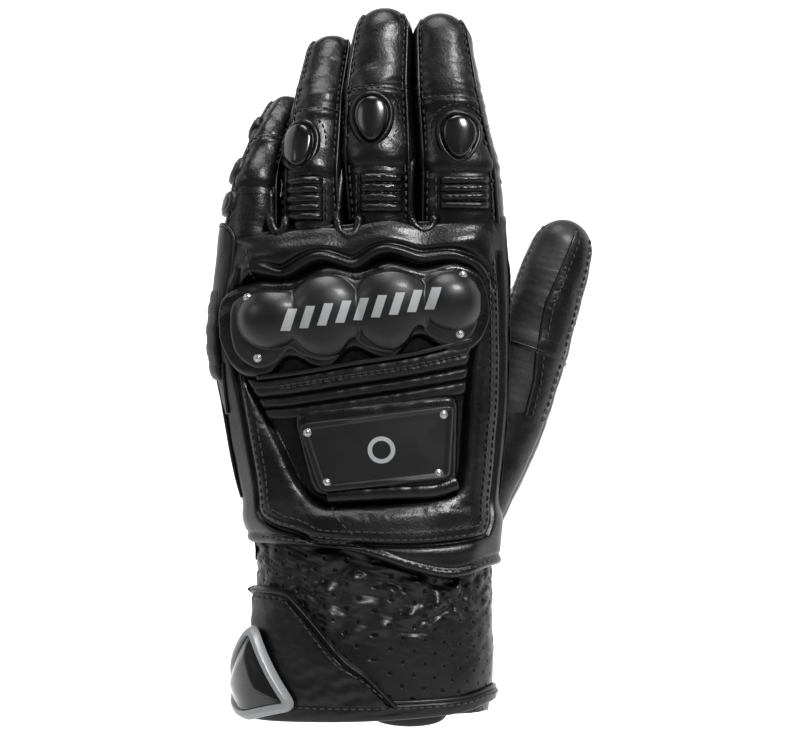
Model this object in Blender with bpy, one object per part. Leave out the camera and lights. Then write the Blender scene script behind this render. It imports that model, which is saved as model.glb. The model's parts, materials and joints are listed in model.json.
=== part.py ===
"""Short sport riding glove for the left hand, as an assembly of separate pieces.

The frame: +Z runs from the wrist opening to the fingertips, -Y is the back of the hand and +X is
the thumb side. The origin is the centre of the wrist opening, in the plane of the hem.
Every finger bends about axes parallel to X, and keeps to its own slab of X, so that neighbours
pass each other. Each moving piece hangs on an empty that stands on its joint's axis.
"""

import math

import bmesh
import bpy
import numpy as np
from mathutils import Matrix, Vector

MM = 0.001

# Walls and clearances
WALL = 1.8 * MM  # leather, foam and lining of a hand or finger tube
GAP = 0.35 * MM  # between two pieces that lie on each other
HINGE_GAP = 0.4 * MM  # from a hinge's plane to the end of either tube
SECTION_POWER = 2.4  # of the superellipse that every tube's section is
COLUMNS = 16  # points round a finger

# Wrist and cuff: height, left and right edge, back and palm depth
WRIST_Z = 45.0 * MM
WRIST_BEND = math.radians(25)  # each way
HEM_HEIGHT = 5.5 * MM
HEM_SLANT = 0.1  # rise of the hem towards the thumb side
HEM_THICKNESS = 3.0 * MM
CUFF_STATIONS = np.array(
    [
        (-6, -40.5, 41.0, -25.5, 26.0),
        (10, -41.5, 42.0, -25.5, 26.0),
        (28, -40.5, 42.0, -24.0, 25.0),
        (46, -39.6, 42.0, -22.5, 23.0),
    ]
) * MM

# Hand: the same columns
HAND_STATIONS = np.array(
    [
        (44, -39.6, 42.0, -22.5, 23.0),
        (60, -40.8, 43.0, -21.0, 23.5),
        (80, -45.6, 46.0, -19.0, 22.5),
        (100, -49.6, 48.0, -17.5, 21.0),
        (124, -54.0, 48.8, -16.5, 18.5),
        (145, -52.4, 48.8, -15.5, 16.0),
        (164, -50.4, 47.6, -13.5, 13.5),
    ]
) * MM

# Fingers. x, width and depth are at the knuckle, the middle joint, the end joint and the tip.
# bend holds the rest angles of the three joints, in degrees from straight.
HINGE_DEPTH = 8.0 * MM  # of a finger's axis below its back
KNUCKLE_MAX = math.radians(62)
MIDDLE_MAX = math.radians(68)
END_MAX = math.radians(42)
FINGERS = {
    "index": {
        "x": (33.0, 32.2, 29.2, 26.0),
        "y": -3.6,
        "z": 163.0,
        "width": (28.6, 26.4, 20.4, 17.2),
        "depth": (25.5, 23.5, 20.5, 17.5),
        "length": (21.8, 27.0, 30.0),
        "bend": (4, 8, 8),
    },
    "middle": {
        "x": (5.4, 5.4, 5.6, 6.9),
        "y": -5.4,
        "z": 163.5,
        "width": (22.4, 22.2, 20.8, 17.6),
        "depth": (25.5, 23.5, 21.0, 17.5),
        "length": (24.0, 27.4, 29.6),
        "bend": (5, 10, 8),
    },
    "ring": {
        "x": (-18.1, -18.0, -17.0, -15.6),
        "y": -4.9,
        "z": 161.5,
        "width": (22.6, 22.4, 20.4, 17.4),
        "depth": (24.5, 22.5, 20.0, 17.0),
        "length": (20.5, 27.0, 30.0),
        "bend": (8, 14, 14),
    },
    "little": {
        "x": (-40.6, -39.2, -38.2, -37.4),
        "y": -1.8,
        "z": 159.5,
        "width": (20.6, 17.8, 15.8, 14.2),
        "depth": (22.0, 20.0, 17.5, 15.5),
        "length": (20.6, 19.0, 22.0),
        "bend": (12, 22, 16),
    },
}

# Thumb: its base hinge, the direction it points in, and its sizes from that hinge on
THUMB_HINGE = Vector((48.2, 8.5, 99.0)) * MM
THUMB_POINTS_TO = Vector((0.31, 0.15, 0.94))
THUMB_BASE_MAX = math.radians(38)
THUMB_BACKWARDS = math.radians(4)
THUMB_END_MAX = math.radians(50)
THUMB_END_REST = 6  # degrees
THUMB_LENGTH = (43.0 * MM, 31.0 * MM)
THUMB_WIDTH = np.array((27.0, 25.0, 20.0)) * MM
THUMB_DEPTH = np.array((26.0, 23.5, 19.0)) * MM
MOUND_LENGTH = 40.0 * MM
MOUND_WIDTH = 19.0 * MM
MOUND_DEPTH = 24.0 * MM
JUNCTION_GAP = 0.5 * MM

# Knuckle guard: four domes in a row that rises towards the thumb side
DOME_X = np.array((-35.4, -14.2, 7.4, 29.0)) * MM
DOME_Z = np.array((129.5, 132.6, 136.0, 137.6)) * MM
DOME_RADIUS = 10.6 * MM
DOME_HEIGHT = 5.0 * MM
GUARD_HALF_HEIGHT = 15.0 * MM
GUARD_LOBE = 3.2 * MM  # how deep the edge dips between two domes
GUARD_END_X = (-45.0 * MM, 38.5 * MM)
GUARD_WALL = 2.0 * MM
GUARD_PAD = 3.0 * MM
GUARD_PAD_MARGIN = 5.0 * MM
RIVET_RADIUS = 2.1 * MM
RIVET_HEIGHT = 1.2 * MM
RIVET_LIFT = 0.4 * MM  # off the curved face under it
GUARD_RIVETS = ((-39.6, 139.2), (-40.4, 119.6), (34.6, 127.4), (34.4, 147.2))

# Back plate and the pads under it, as corners in X and Z
PLATE_CORNERS = ((-23.6, 98.0), (29.1, 104.6), (27.4, 78.4), (-15.8, 73.6))
PLATE_THICKNESS = 2.2 * MM
PLATE_RIVETS = ((-20.2, 94.6), (25.0, 100.8), (23.2, 80.8), (-13.8, 77.6))
PLATE_PAD_MARGIN = 7.0 * MM
PLATE_PAD = 3.2 * MM
RIB_END_X = (-36.0 * MM, 42.0 * MM)
RIB_PITCH = 6.0 * MM
RIB_HEIGHT = 3.2 * MM

# Finger trim: centre in X and Z, width and height
INSERTS = {
    "index": (31.2, 195.6, 13.7, 17.5),
    "middle": (2.6, 201.0, 12.0, 18.0),
    "ring": (-22.6, 192.6, 10.6, 16.4),
}
ACCORDIONS = {
    "index": (33.6, 174.6, 15.5, 12.0),
    "middle": (4.8, 176.0, 13.0, 14.0),
    "ring": (-21.6, 170.6, 13.0, 11.0),
}
ARMOUR_Z = (174.4, 188.0, 198.4)
ARMOUR_X = (-43.6, -41.6, -39.2)
TRIM_THICKNESS = 2.0 * MM

# Strap: a band round the palm side whose end peels off
STRAP_HEIGHT = 22.0 * MM
STRAP_Z = 12.5 * MM
STRAP_THICKNESS = 2.2 * MM
STRAP_PLUSH = 0.9 * MM  # hook or loop tape
STRAP_HINGE_ANGLE = 108.0  # degrees round the cuff, from +X over the palm
STRAP_ANCHOR_ANGLE = 30.0
STRAP_END_ANGLE = 232.0
PLUSH_ANGLES = (140.0, 206.0)
TAB_CORNERS = ((160.0, 5.0), (198.0, -4.5), (242.0, 0.5), (207.0, 31.0))  # degrees, Z
TAB_RADIUS = 40.0 * MM  # turns its angles into lengths
TAB_THICKNESS = 1.6 * MM
TAB_FRAME_WIDTH = 3.4 * MM

PALM_PATCH = (-6.0, 108.0, 46.0, 38.0)  # centre X and Z, width and height
PALM_PATCH_PLANE = 23.6 * MM
HEEL_PAD = (-12.0, 68.0, 40.0, 22.0)
SIDE_PANEL_X = (-36.0 * MM, 3.0 * MM)
SIDE_PANEL_TURN_X = -27.4 * MM
SIDE_PANEL_TOP = np.array((38.0, 38.0, 8.6)) * MM
SIDE_PANEL_THICKNESS = 0.9 * MM
TONGUE_X = (0.0 * MM, 30.0 * MM)
TONGUE_LOW = -8.2 * MM

COLOURS = {
    "back_leather": ((0.012, 0.012, 0.013), 0.38, 0.0),
    "palm_leather": ((0.014, 0.014, 0.014), 0.55, 0.0),
    "guard_shell": ((0.016, 0.016, 0.018), 0.32, 0.0),
    "moulded_rubber": ((0.014, 0.014, 0.015), 0.5, 0.0),
    "tab_frame": ((0.16, 0.16, 0.165), 0.35, 0.0),
    "rivet_steel": ((0.72, 0.72, 0.73), 0.22, 1.0),
    "strap_fabric": ((0.02, 0.02, 0.021), 0.75, 0.0),
    "lining_fabric": ((0.03, 0.03, 0.032), 0.9, 0.0),
}


def clear_scene():
    """Removes every object of the open scene."""
    for found in list(bpy.data.objects):
        bpy.data.objects.remove(found)


def material(name):
    """The Principled material of one finish."""
    found = bpy.data.materials.get(name)
    if found:
        return found
    colour, roughness, metallic = COLOURS[name]
    made = bpy.data.materials.new(name)
    made.use_nodes = True
    shader = made.node_tree.nodes["Principled BSDF"]
    shader.inputs["Base Color"].default_value = (*colour, 1)
    shader.inputs["Roughness"].default_value = roughness
    shader.inputs["Metallic"].default_value = metallic
    return made


def empty(name, location, turn_x=0.0, parent=None, frame=None):
    """An axis marker: its X axis is the joint's axis."""
    made = bpy.data.objects.new(name, None)
    bpy.context.scene.collection.objects.link(made)
    made.parent = parent
    made.location = location
    if frame is not None:
        made.rotation_euler = frame.to_euler()
    else:
        made.rotation_euler = (turn_x, 0, 0)
    return made


def add_object(name, mesh, finish, parent=None):
    """Links a mesh as a named piece with its finish."""
    mesh.materials.append(material(finish))
    mesh.shade_smooth()
    mesh.set_sharp_from_angle(angle=math.radians(40))
    made = bpy.data.objects.new(name, mesh)
    bpy.context.scene.collection.objects.link(made)
    made.parent = parent
    return made


def loft(name, rings, finish, parent=None, ring_shaped=False):
    """A closed body over rings of points. Its two ends are closed to their middles, or joined to
    each other when it is ring-shaped, as a tube's outer and inner walls are."""
    rings = np.asarray(rings, float)
    work = bmesh.new()
    rows = [[work.verts.new(point) for point in ring] for ring in rings]
    pairs = list(zip(rows, rows[1:]))
    if ring_shaped:
        pairs.append((rows[-1], rows[0]))
    else:
        for row in (rows[0], rows[-1]):
            middle = sum((v.co for v in row), Vector()) / len(row)
            pole = work.verts.new(middle)
            for a, b in zip(row, row[1:] + row[:1]):
                work.faces.new((a, b, pole))
    for low, high in pairs:
        for i in range(len(low)):
            j = (i + 1) % len(low)
            work.faces.new((low[i], low[j], high[j], high[i]))
    bmesh.ops.recalc_face_normals(work, faces=work.faces)
    mesh = bpy.data.meshes.new(name)
    work.to_mesh(mesh)
    work.free()
    return add_object(name, mesh, finish, parent)


def cutter(guide):
    """Turns a piece into a helper that only cuts others."""
    guide.hide_render = True
    guide.display_type = "WIRE"
    return guide


def cut(piece, *guides):
    """Takes each guide's volume out of the piece."""
    for guide in guides:
        change = piece.modifiers.new("Cut " + guide.name, "BOOLEAN")
        change.operation = "DIFFERENCE"
        change.object = guide


def unit_section(angles):
    """A superellipse of half width and half depth 1, at these angles."""
    c, s = np.cos(angles), np.sin(angles)
    power = 2 / SECTION_POWER
    return np.sign(c) * np.abs(c) ** power, np.sign(s) * np.abs(s) ** power


class Form:
    """A tube with stations of height, left, right, back and palm, such as the hand or the cuff."""

    def __init__(self, stations):
        self.stations = stations

    def sizes(self, z):
        """Middle in X, half width, back depth and palm depth at a height."""
        left, right, back, palm = (
            np.interp(z, self.stations[:, 0], self.stations[:, k]) for k in range(1, 5)
        )
        return (left + right) / 2, (right - left) / 2, -back, palm

    def at(self, angle, z, lift=0.0):
        """Points at angles round the tube, from +X over the palm, and lifted off its skin."""
        middle, half, back, palm = self.sizes(z)
        x, y = unit_section(angle)
        depth = np.where(y < 0, back, palm) + lift
        return np.stack([middle + (half + lift) * x, depth * y, z + 0 * x], axis=-1)

    def depth(self, x, z, side=-1, lift=0.0):
        """The Y of the skin at X and Z, on the back (-1) or the palm (1)."""
        middle, half, back, palm = self.sizes(z)
        share = np.clip(np.abs(x - middle) / (half + lift), 0, 0.995)
        reach = (1 - share**SECTION_POWER) ** (1 / SECTION_POWER)
        return side * ((back if side < 0 else palm) + lift) * reach


HAND = Form(HAND_STATIONS)
CUFF = Form(CUFF_STATIONS)


def knuckle_line(x, key):
    """The knuckle hinges' height or depth at X, between one finger and the next."""
    places = sorted((f["x"][0], f[key]) for f in FINGERS.values())
    return np.interp(x, [p[0] * MM for p in places], [p[1] * MM for p in places])


def wall_rings(form, angles, low, high, count, lift):
    """Rings of one wall of a tube whose ends follow low and high, functions of a ring of points."""
    start, end = (form.at(angles, z, lift) for z in (form.stations[0, 0], form.stations[-1, 0]))
    bottom, top = low(start), high(end)
    rings = []
    for share in np.linspace(0, 1, count):
        z = bottom + (top - bottom) * share
        rings.append(form.at(angles, z, lift))
    return rings


def half_shell(name, form, first, last, low, high, finish, columns=13, count=8):
    """One side of a tube, as a wall between two angles."""
    angles = np.radians(np.linspace(first, last, columns))
    outer = wall_rings(form, angles, low, high, count, 0)
    inner = wall_rings(form, angles, low, high, count, -WALL)
    rings = [np.concatenate([a, b[::-1]]) for a, b in zip(outer, inner)]
    return strip_loft(name, rings, columns, finish)


def strip_loft(name, rings, columns, finish, parent=None):
    """A body over flat loops, each an outer run of points and an inner one back, with ends closed
    by a row of faces instead of a fan."""
    work = bmesh.new()
    rows = [[work.verts.new(point) for point in ring] for ring in rings]
    size = 2 * columns
    for low, high in zip(rows, rows[1:]):
        for i in range(size):
            j = (i + 1) % size
            work.faces.new((low[i], low[j], high[j], high[i]))
    for row in (rows[0], rows[-1]):
        for i in range(columns - 1):
            work.faces.new((row[i], row[i + 1], row[size - 2 - i], row[size - 1 - i]))
    bmesh.ops.recalc_face_normals(work, faces=work.faces)
    mesh = bpy.data.meshes.new(name)
    work.to_mesh(mesh)
    work.free()
    return add_object(name, mesh, finish, parent)


def wrist_low(points):
    """The lower edge of the hand, a wedge clear of the wrist's axis."""
    return WRIST_Z + HINGE_GAP + np.abs(points[..., 1]) * math.tan(WRIST_BEND / 2)


def wrist_high(points):
    """The upper edge of the cuff."""
    return 2 * WRIST_Z - wrist_low(points)


def hand_high(points):
    """The upper edge of the hand, cut back on the palm side where the fingers fold."""
    x, y = points[..., 0], points[..., 1]
    fold = np.maximum(y - knuckle_line(x, "y"), 0) * math.tan(KNUCKLE_MAX / 2)
    return knuckle_line(x, "z") - HINGE_GAP - fold


def hem_line(points):
    """The lower edge of the hem, which rises towards the thumb side."""
    return points[..., 0] * HEM_SLANT


def patch(name, outline, surface, lift, thickness, finish, parent=None, crown=0.0, rings=3):
    """A plate or pad that lies on a surface: an outline in X and Z, filled by rings that shrink to
    its middle. Its underside follows the surface, and its top stands up by thickness plus a crown
    that falls away to the edge as the square of the distance."""
    outline = np.asarray(outline, float)
    middle = outline.mean(axis=0)
    shares = np.linspace(1, 0, rings + 1)[:-1]
    layers = []
    for share in shares[::-1]:
        flat = middle + (outline - middle) * share
        layers.append((flat, 0.0))
    for share in shares:
        flat = middle + (outline - middle) * share
        layers.append((flat, thickness + crown * (1 - share**2)))
    made = []
    for flat, height in layers:
        y = surface(flat[:, 0], flat[:, 1], lift) - height
        made.append(np.stack([flat[:, 0], y, flat[:, 1]], axis=-1))
    return loft(name, made, finish, parent)


def hand_back(x, z, lift):
    return HAND.depth(x, z, -1, lift)


def ellipse(centre_x, centre_z, width, height, count=16, power=2.0):
    """A closed outline with rounded or squarer corners."""
    angles = np.linspace(0, 2 * math.pi, count, endpoint=False)
    c, s = np.cos(angles), np.sin(angles)
    x = np.sign(c) * np.abs(c) ** (2 / power) * width / 2
    z = np.sign(s) * np.abs(s) ** (2 / power) * height / 2
    return np.stack([centre_x + x, centre_z + z], axis=-1)


def rounded(corners, radius, steps=3):
    """A closed outline through corners, each rounded by an arc-like curve."""
    corners = [np.array(c, float) for c in corners]
    points = []
    for before, corner, after in zip(corners[-1:] + corners, corners, corners[1:] + corners[:1]):
        first = corner + (before - corner) * radius / np.linalg.norm(before - corner)
        last = corner + (after - corner) * radius / np.linalg.norm(after - corner)
        for t in np.linspace(0, 1, steps + 1):
            points.append((1 - t) ** 2 * first + 2 * t * (1 - t) * corner + t**2 * last)
    return np.array(points)


def grown(outline, margin):
    """The outline moved out from its middle by a margin."""
    middle = outline.mean(axis=0)
    away = outline - middle
    length = np.linalg.norm(away, axis=1, keepdims=True)
    return middle + away * (1 + margin / length)


def band(
    name, form, first, last, z, height, lift, thickness, finish, parent=None, count=12, rows=4
):
    """A strip that wraps round a tube between two angles, with its outer edges thinned."""
    shares = np.linspace(-1, 1, rows)
    thick = lift + thickness * (1 - 0.3 * np.abs(shares) ** 8)
    rings = []
    for angle in np.radians(np.linspace(first, last, count)):
        around = np.full_like(shares, angle)
        outside = form.at(around, z + shares * height / 2, thick)
        inside = form.at(around, z + shares * height / 2, lift)
        rings.append(np.concatenate([outside, inside[::-1]]))
    return strip_loft(name, rings, rows, finish, parent)


def rivet(name, place, surface, lift):
    """A low domed rivet head, turned to stand square on the surface under it."""
    work = bmesh.new()
    bmesh.ops.create_cone(
        work, cap_ends=True, segments=12, radius1=RIVET_RADIUS, radius2=RIVET_RADIUS * 0.55,
        depth=RIVET_HEIGHT,
    )
    bmesh.ops.translate(work, verts=work.verts, vec=(0, 0, RIVET_HEIGHT / 2))
    mesh = bpy.data.meshes.new(name)
    work.to_mesh(mesh)
    work.free()
    made = add_object(name, mesh, "rivet_steel")
    x, z = np.array(place) * MM
    step = RIVET_RADIUS
    y = surface(x, z, lift)
    across = Vector((2 * step, float(surface(x + step, z, lift) - surface(x - step, z, lift)), 0))
    up = Vector((0, float(surface(x, z + step, lift) - surface(x, z - step, lift)), 2 * step))
    out = across.cross(up).normalized()
    made.rotation_euler = out.to_track_quat("Z", "Y").to_euler()
    made.location = Vector((x, y, z)) + out * RIVET_LIFT
    return made


def make_cuff():
    """The wrist tube with its hem, lining, side panel and tongue."""
    angles = np.radians(np.linspace(0, 360, 29)[:-1])

    def shell_low(points):
        return hem_line(points) + HEM_HEIGHT + GAP

    outer = wall_rings(CUFF, angles, shell_low, wrist_high, 6, 0)
    inner = wall_rings(CUFF, angles, shell_low, wrist_high, 6, -WALL)
    loft("cuff_shell", outer + inner[::-1], "back_leather", ring_shaped=True)

    def hem_top(points):
        return hem_line(points) + HEM_HEIGHT

    proud = (HEM_THICKNESS - WALL) / 2
    outer = wall_rings(CUFF, angles, hem_line, hem_top, 3, proud)
    inner = wall_rings(CUFF, angles, hem_line, hem_top, 3, -WALL - proud)
    loft("cuff_hem", outer + inner[::-1], "palm_leather", ring_shaped=True)

    def lining_low(points):
        return shell_low(points) + 2 * MM

    def lining_high(points):
        return wrist_high(points) - 3 * MM

    outer = wall_rings(CUFF, angles, lining_low, lining_high, 4, -WALL - GAP)
    inner = wall_rings(CUFF, angles, lining_low, lining_high, 4, -WALL - GAP - 1.0 * MM)
    loft("cuff_lining", outer + inner[::-1], "lining_fabric", ring_shaped=True)

    make_side_panel()
    make_tongue()


def make_side_panel():
    """The smooth panel on the little-finger side, whose edge runs down across the back."""
    xs = np.linspace(*SIDE_PANEL_X, 15)
    top = np.interp(xs, (SIDE_PANEL_X[0], SIDE_PANEL_TURN_X, SIDE_PANEL_X[1]), SIDE_PANEL_TOP)
    bottom = xs * HEM_SLANT + HEM_HEIGHT + 2 * GAP
    strip(
        "cuff_side_panel", xs, (top + bottom) / 2, (top - bottom) / 2, 2 * GAP,
        lambda x, z, share: SIDE_PANEL_THICKNESS + 0 * x, "palm_leather", rows=6, form=CUFF,
    )


def make_tongue():
    """The rounded end of the palm that hangs below the hem, inside it."""
    x0, x1 = TONGUE_X
    top = HEM_HEIGHT + 6 * MM
    outline = rounded(
        ((x0, top), (x1, top), (x1 - 2 * MM, TONGUE_LOW), (x0 + 2 * MM, TONGUE_LOW)), 6 * MM
    )

    def inside(x, z, lift):
        return CUFF.depth(x, z * 0, 1, lift)

    out_of_hem = -WALL - (HEM_THICKNESS - WALL) / 2 - GAP - 1.4 * MM
    patch("palm_tongue", outline, inside, out_of_hem, 1.4 * MM, "palm_leather", rings=2)


def strap_lift():
    """The height of the strap's underside over the cuff, above both plush tapes."""
    return 3 * GAP + 2 * STRAP_PLUSH


def make_strap():
    """The fixed half of the wrist strap, and the end that peels off with its tapes and tab."""
    band(
        "strap_anchor", CUFF, STRAP_ANCHOR_ANGLE, STRAP_HINGE_ANGLE - 1.0, STRAP_Z, STRAP_HEIGHT,
        strap_lift(), STRAP_THICKNESS, "strap_fabric",
    )
    band(
        "loop_tape", CUFF, *PLUSH_ANGLES, STRAP_Z, STRAP_HEIGHT - 4 * MM, GAP, STRAP_PLUSH,
        "strap_fabric", count=9,
    )
    outside = strap_lift() + STRAP_THICKNESS
    place = CUFF.at(np.radians(np.array(STRAP_HINGE_ANGLE)), STRAP_Z, outside)
    axis = empty("strap_axis", place, frame=Matrix.Rotation(math.radians(90), 3, "Y"))
    back = Matrix(axis.rotation_euler.to_matrix().to_4x4())
    back.translation = Vector(place)
    pieces = [
        band(
            "strap_band", CUFF, STRAP_HINGE_ANGLE, STRAP_END_ANGLE, STRAP_Z, STRAP_HEIGHT,
            strap_lift(), STRAP_THICKNESS, "strap_fabric", count=20,
        ),
        band(
            "hook_tape", CUFF, *PLUSH_ANGLES, STRAP_Z, STRAP_HEIGHT - 4 * MM,
            2 * GAP + STRAP_PLUSH, STRAP_PLUSH, "strap_fabric", count=9,
        ),
    ]
    pieces += make_tab(outside + 3 * GAP)
    for piece in pieces:
        piece.parent = axis
        piece.matrix_parent_inverse = back.inverted()


def tab_outline(margin):
    """A rounded triangle in angle and height, its point up and towards the back."""
    corners = [(math.radians(turn) * TAB_RADIUS, z * MM) for turn, z in TAB_CORNERS]
    outline = grown(split_long(rounded(corners, 7 * MM, 4), 12), -margin)
    outline[:, 0] /= TAB_RADIUS
    return outline


def make_tab(lift):
    """The moulded tab: a bevelled frame with a glossy inlay inside it."""
    outer, inner = tab_outline(0), tab_outline(TAB_FRAME_WIDTH)

    def ring(outline, height):
        return np.stack([CUFF.at(np.array(a), z, lift + height) for a, z in outline])

    bevel = 0.7 * MM
    rings = [
        ring(outer, 0),
        ring(outer, TAB_THICKNESS - bevel),
        ring(tab_outline(bevel), TAB_THICKNESS),
        ring(tab_outline(TAB_FRAME_WIDTH - bevel), TAB_THICKNESS),
        ring(inner, TAB_THICKNESS - bevel),
        ring(inner, 0),
    ]
    frame = loft("strap_tab_frame", rings, "tab_frame", ring_shaped=True)
    rings = []
    middle = inner.mean(axis=0)
    for share, height in ((0.5, 0), (0.98, 0), (0.98, 0.8), (0.5, 1.0)):
        outline = tab_outline(TAB_FRAME_WIDTH + GAP)
        rings.append(ring(middle + (outline - middle) * share, height * MM))
    inlay = loft("strap_tab_inlay", rings, "guard_shell")
    return [frame, inlay]


def thumb_frame():
    """The thumb's own axes: Z along it, X its hinge axis and Y the way it folds."""
    along = THUMB_POINTS_TO.normalized()
    fold = Vector((0, 1, 0))
    axis = fold.cross(along).normalized()
    return Matrix((axis, along.cross(axis), along)).transposed()


def tube(
    name, length, x, width, depth, low_fold, high_fold, finish, parent, dome=0.0, wall=WALL,
    grow=0.0, low=None,
):
    """A hollow finger or thumb piece along its parent's Z, from its own hinge at the origin.
    Its palm side is cut back by half of each joint's full bend, so that it folds. With a dome, the
    far end is closed and rounded. With no wall it is solid, to cut others."""
    angles = np.linspace(0, 2 * math.pi, COLUMNS, endpoint=False)
    c, s = unit_section(angles)

    def ring(z, lift, shrink=1.0):
        share = np.clip(z / length, 0, 1)
        half = (width[0] + (width[1] - width[0]) * share) / 2 + lift
        deep = (depth[0] + (depth[1] - depth[0]) * share) / 2
        across = (x[0] + (x[1] - x[0]) * share) + half * c * shrink
        down = deep - HINGE_DEPTH + (deep + lift) * s * shrink
        return np.stack([across, down, z + 0 * c], axis=-1)

    def wall_side(lift, count=4):
        first = ring(np.zeros(COLUMNS), lift)
        last = ring(np.full(COLUMNS, length), lift)
        start = HINGE_GAP + np.maximum(first[:, 1], 0) * math.tan(low_fold / 2)
        if low is not None:
            start = start * 0 + low
        end = length - HINGE_GAP - np.maximum(last[:, 1], 0) * math.tan(high_fold / 2)
        if dome:
            end = end * 0 + length - dome
        rings = [ring(start + (end - start) * t, lift) for t in np.linspace(0, 1, count)]
        if dome:
            for turn in np.radians((30, 55, 76)):
                up = length - dome + (dome + lift) * math.sin(turn)
                rings.append(ring(end * 0 + up, lift, math.cos(turn)))
        return rings

    if not wall:
        return cutter(loft(name, wall_side(grow), finish, parent))
    outer, inner = wall_side(0), wall_side(-wall)
    return loft(name, inner[::-1] + outer, finish, parent, ring_shaped=not dome)


def make_finger(name, sizes):
    """The three tubes of one finger on their three hinges, and each hinge's empty."""
    x, width, depth = (np.array(sizes[key]) * MM for key in ("x", "width", "depth"))
    length = np.array(sizes["length"]) * MM
    bends = [math.radians(b) for b in sizes["bend"]]
    folds = (KNUCKLE_MAX, MIDDLE_MAX, END_MAX, 0)
    place = Vector((x[0], sizes["y"] * MM, sizes["z"] * MM))
    parent, axes = None, []
    for k, (joint, part) in enumerate((("knuckle", "base"), ("middle", "mid"), ("end", "tip"))):
        parent = empty(f"{name}_{joint}_axis", place, -bends[k], parent)
        tube(
            f"{name}_{part}", length[k], (0, x[k + 1] - x[k]), width[k : k + 2],
            depth[k : k + 2], folds[k], folds[k + 1], "back_leather", parent,
            dome=width[3] * 0.56 if part == "tip" else 0,
        )
        place = Vector((x[k + 1] - x[k], 0, length[k]))
        axes.append(parent)
    return axes


def finger_surface(parent, sizes, k):
    """The back of one finger piece as a function of its own X and Z."""
    x, width, depth = (np.array(sizes[key]) * MM for key in ("x", "width", "depth"))
    length = sizes["length"][k] * MM

    def surface(across, z, lift):
        share = np.clip(z / length, 0, 1)
        half = (width[k] + (width[k + 1] - width[k]) * share) / 2
        deep = (depth[k] + (depth[k + 1] - depth[k]) * share) / 2
        offset = np.abs(across - (x[k + 1] - x[k]) * share) / (half + lift)
        reach = (1 - np.clip(offset, 0, 0.97) ** SECTION_POWER) ** (1 / SECTION_POWER)
        return deep - HINGE_DEPTH - (deep + lift) * reach

    return surface


def local_place(axis, x, z, y=0.0):
    """A place in X and Z of the whole glove, seen in a hinge's own axes."""
    bpy.context.view_layer.update()
    back = axis.matrix_world.inverted()
    return back @ Vector((x, y, z))


def make_finger_trim(name, axes):
    """The accordion over a finger's base and the hard insert over its middle joint."""
    sizes = FINGERS[name]
    if name in ACCORDIONS:
        x, z, width, height = np.array(ACCORDIONS[name]) * MM
        place = local_place(axes[0], x, z, sizes["y"] * MM - HINGE_DEPTH)
        outline = ellipse(place.x, place.z, width, height, 16, 5)
        patch(
            f"{name}_accordion", outline, finger_surface(axes[0], sizes, 0), GAP,
            1.2 * MM, "back_leather", axes[0], crown=1.4 * MM, rings=3,
        )
    if name in INSERTS:
        x, z, width, height = np.array(INSERTS[name]) * MM
        place = local_place(axes[1], x, z, sizes["y"] * MM - HINGE_DEPTH)
        outline = ellipse(place.x, place.z, width, height, 16)
        outline[:, 0] = place.x + (outline[:, 0] - place.x) * (
            1 - 0.22 * (place.z - outline[:, 1]) / (height / 2)
        )
        patch(
            f"{name}_insert", outline, finger_surface(axes[1], sizes, 1), GAP, 0.8 * MM,
            "guard_shell", axes[1], crown=TRIM_THICKNESS, rings=3,
        )


def make_little_armour(axes):
    """Three small raised pads along the back of the little finger."""
    sizes = FINGERS["little"]
    for k, (x, z, axis) in enumerate(zip(ARMOUR_X, ARMOUR_Z, axes)):
        place = local_place(axis, x * MM, z * MM, sizes["y"] * MM - HINGE_DEPTH)
        low = 4.6 * MM
        high = sizes["length"][k] * MM - 4.6 * MM - (6 * MM if k == 2 else 0)
        middle = min(max(place.z, low), high)
        outline = ellipse(place.x, middle, 8.0 * MM, 8.4 * MM, 12, 3)
        patch(
            f"little_armour_{k + 1}", outline, finger_surface(axis, sizes, k), GAP, 0.7 * MM,
            "moulded_rubber", axis, crown=1.3 * MM, rings=2,
        )


def make_thumb():
    """The mound on the hand, and the two tubes of the thumb on their hinges."""
    frame = thumb_frame()
    base = empty("thumb_base_axis", THUMB_HINGE, frame=frame)
    tip = empty("thumb_end_axis", (0, 0, THUMB_LENGTH[0]), -math.radians(THUMB_END_REST), base)
    fold = THUMB_BASE_MAX + THUMB_BACKWARDS
    tube(
        "thumb_lower", THUMB_LENGTH[0], (0, 0), THUMB_WIDTH[:2], THUMB_DEPTH[:2], fold,
        THUMB_END_MAX, "back_leather", base,
    )
    tube(
        "thumb_tip", THUMB_LENGTH[1], (0, 0), THUMB_WIDTH[1:], THUMB_DEPTH[1:],
        THUMB_END_MAX, 0, "back_leather", tip, dome=THUMB_WIDTH[2] * 0.56,
    )
    swing = empty("thumb_backwards", THUMB_HINGE, frame=frame)
    swing.rotation_euler = (frame @ Matrix.Rotation(THUMB_BACKWARDS, 3, "X")).to_euler()
    guides = []
    for k, parent in enumerate((base, swing)):
        guides.append(
            tube(
                f"thumb_cutter_{k + 1}", THUMB_LENGTH[0] * 1.1, (0, 0), THUMB_WIDTH[:2],
                THUMB_DEPTH[:2], 0, 0, "back_leather", parent, wall=0, grow=JUNCTION_GAP,
                low=-HINGE_GAP,
            )
        )
    foot = empty("thumb_mound_foot", (0, 0, -MOUND_LENGTH), 0, base)
    mound_sizes = ((MOUND_WIDTH, THUMB_WIDTH[0]), (MOUND_DEPTH, THUMB_DEPTH[0]))
    mound = tube(
        "thumb_mound", MOUND_LENGTH, (0, 0), *mound_sizes, 0, fold, "palm_leather", foot
    )
    guides.append(
        tube(
            "mound_cutter", MOUND_LENGTH, (0, 0), *mound_sizes, 0, 0, "palm_leather", foot,
            wall=0, grow=JUNCTION_GAP, low=-2 * MM,
        )
    )
    return mound, guides


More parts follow.
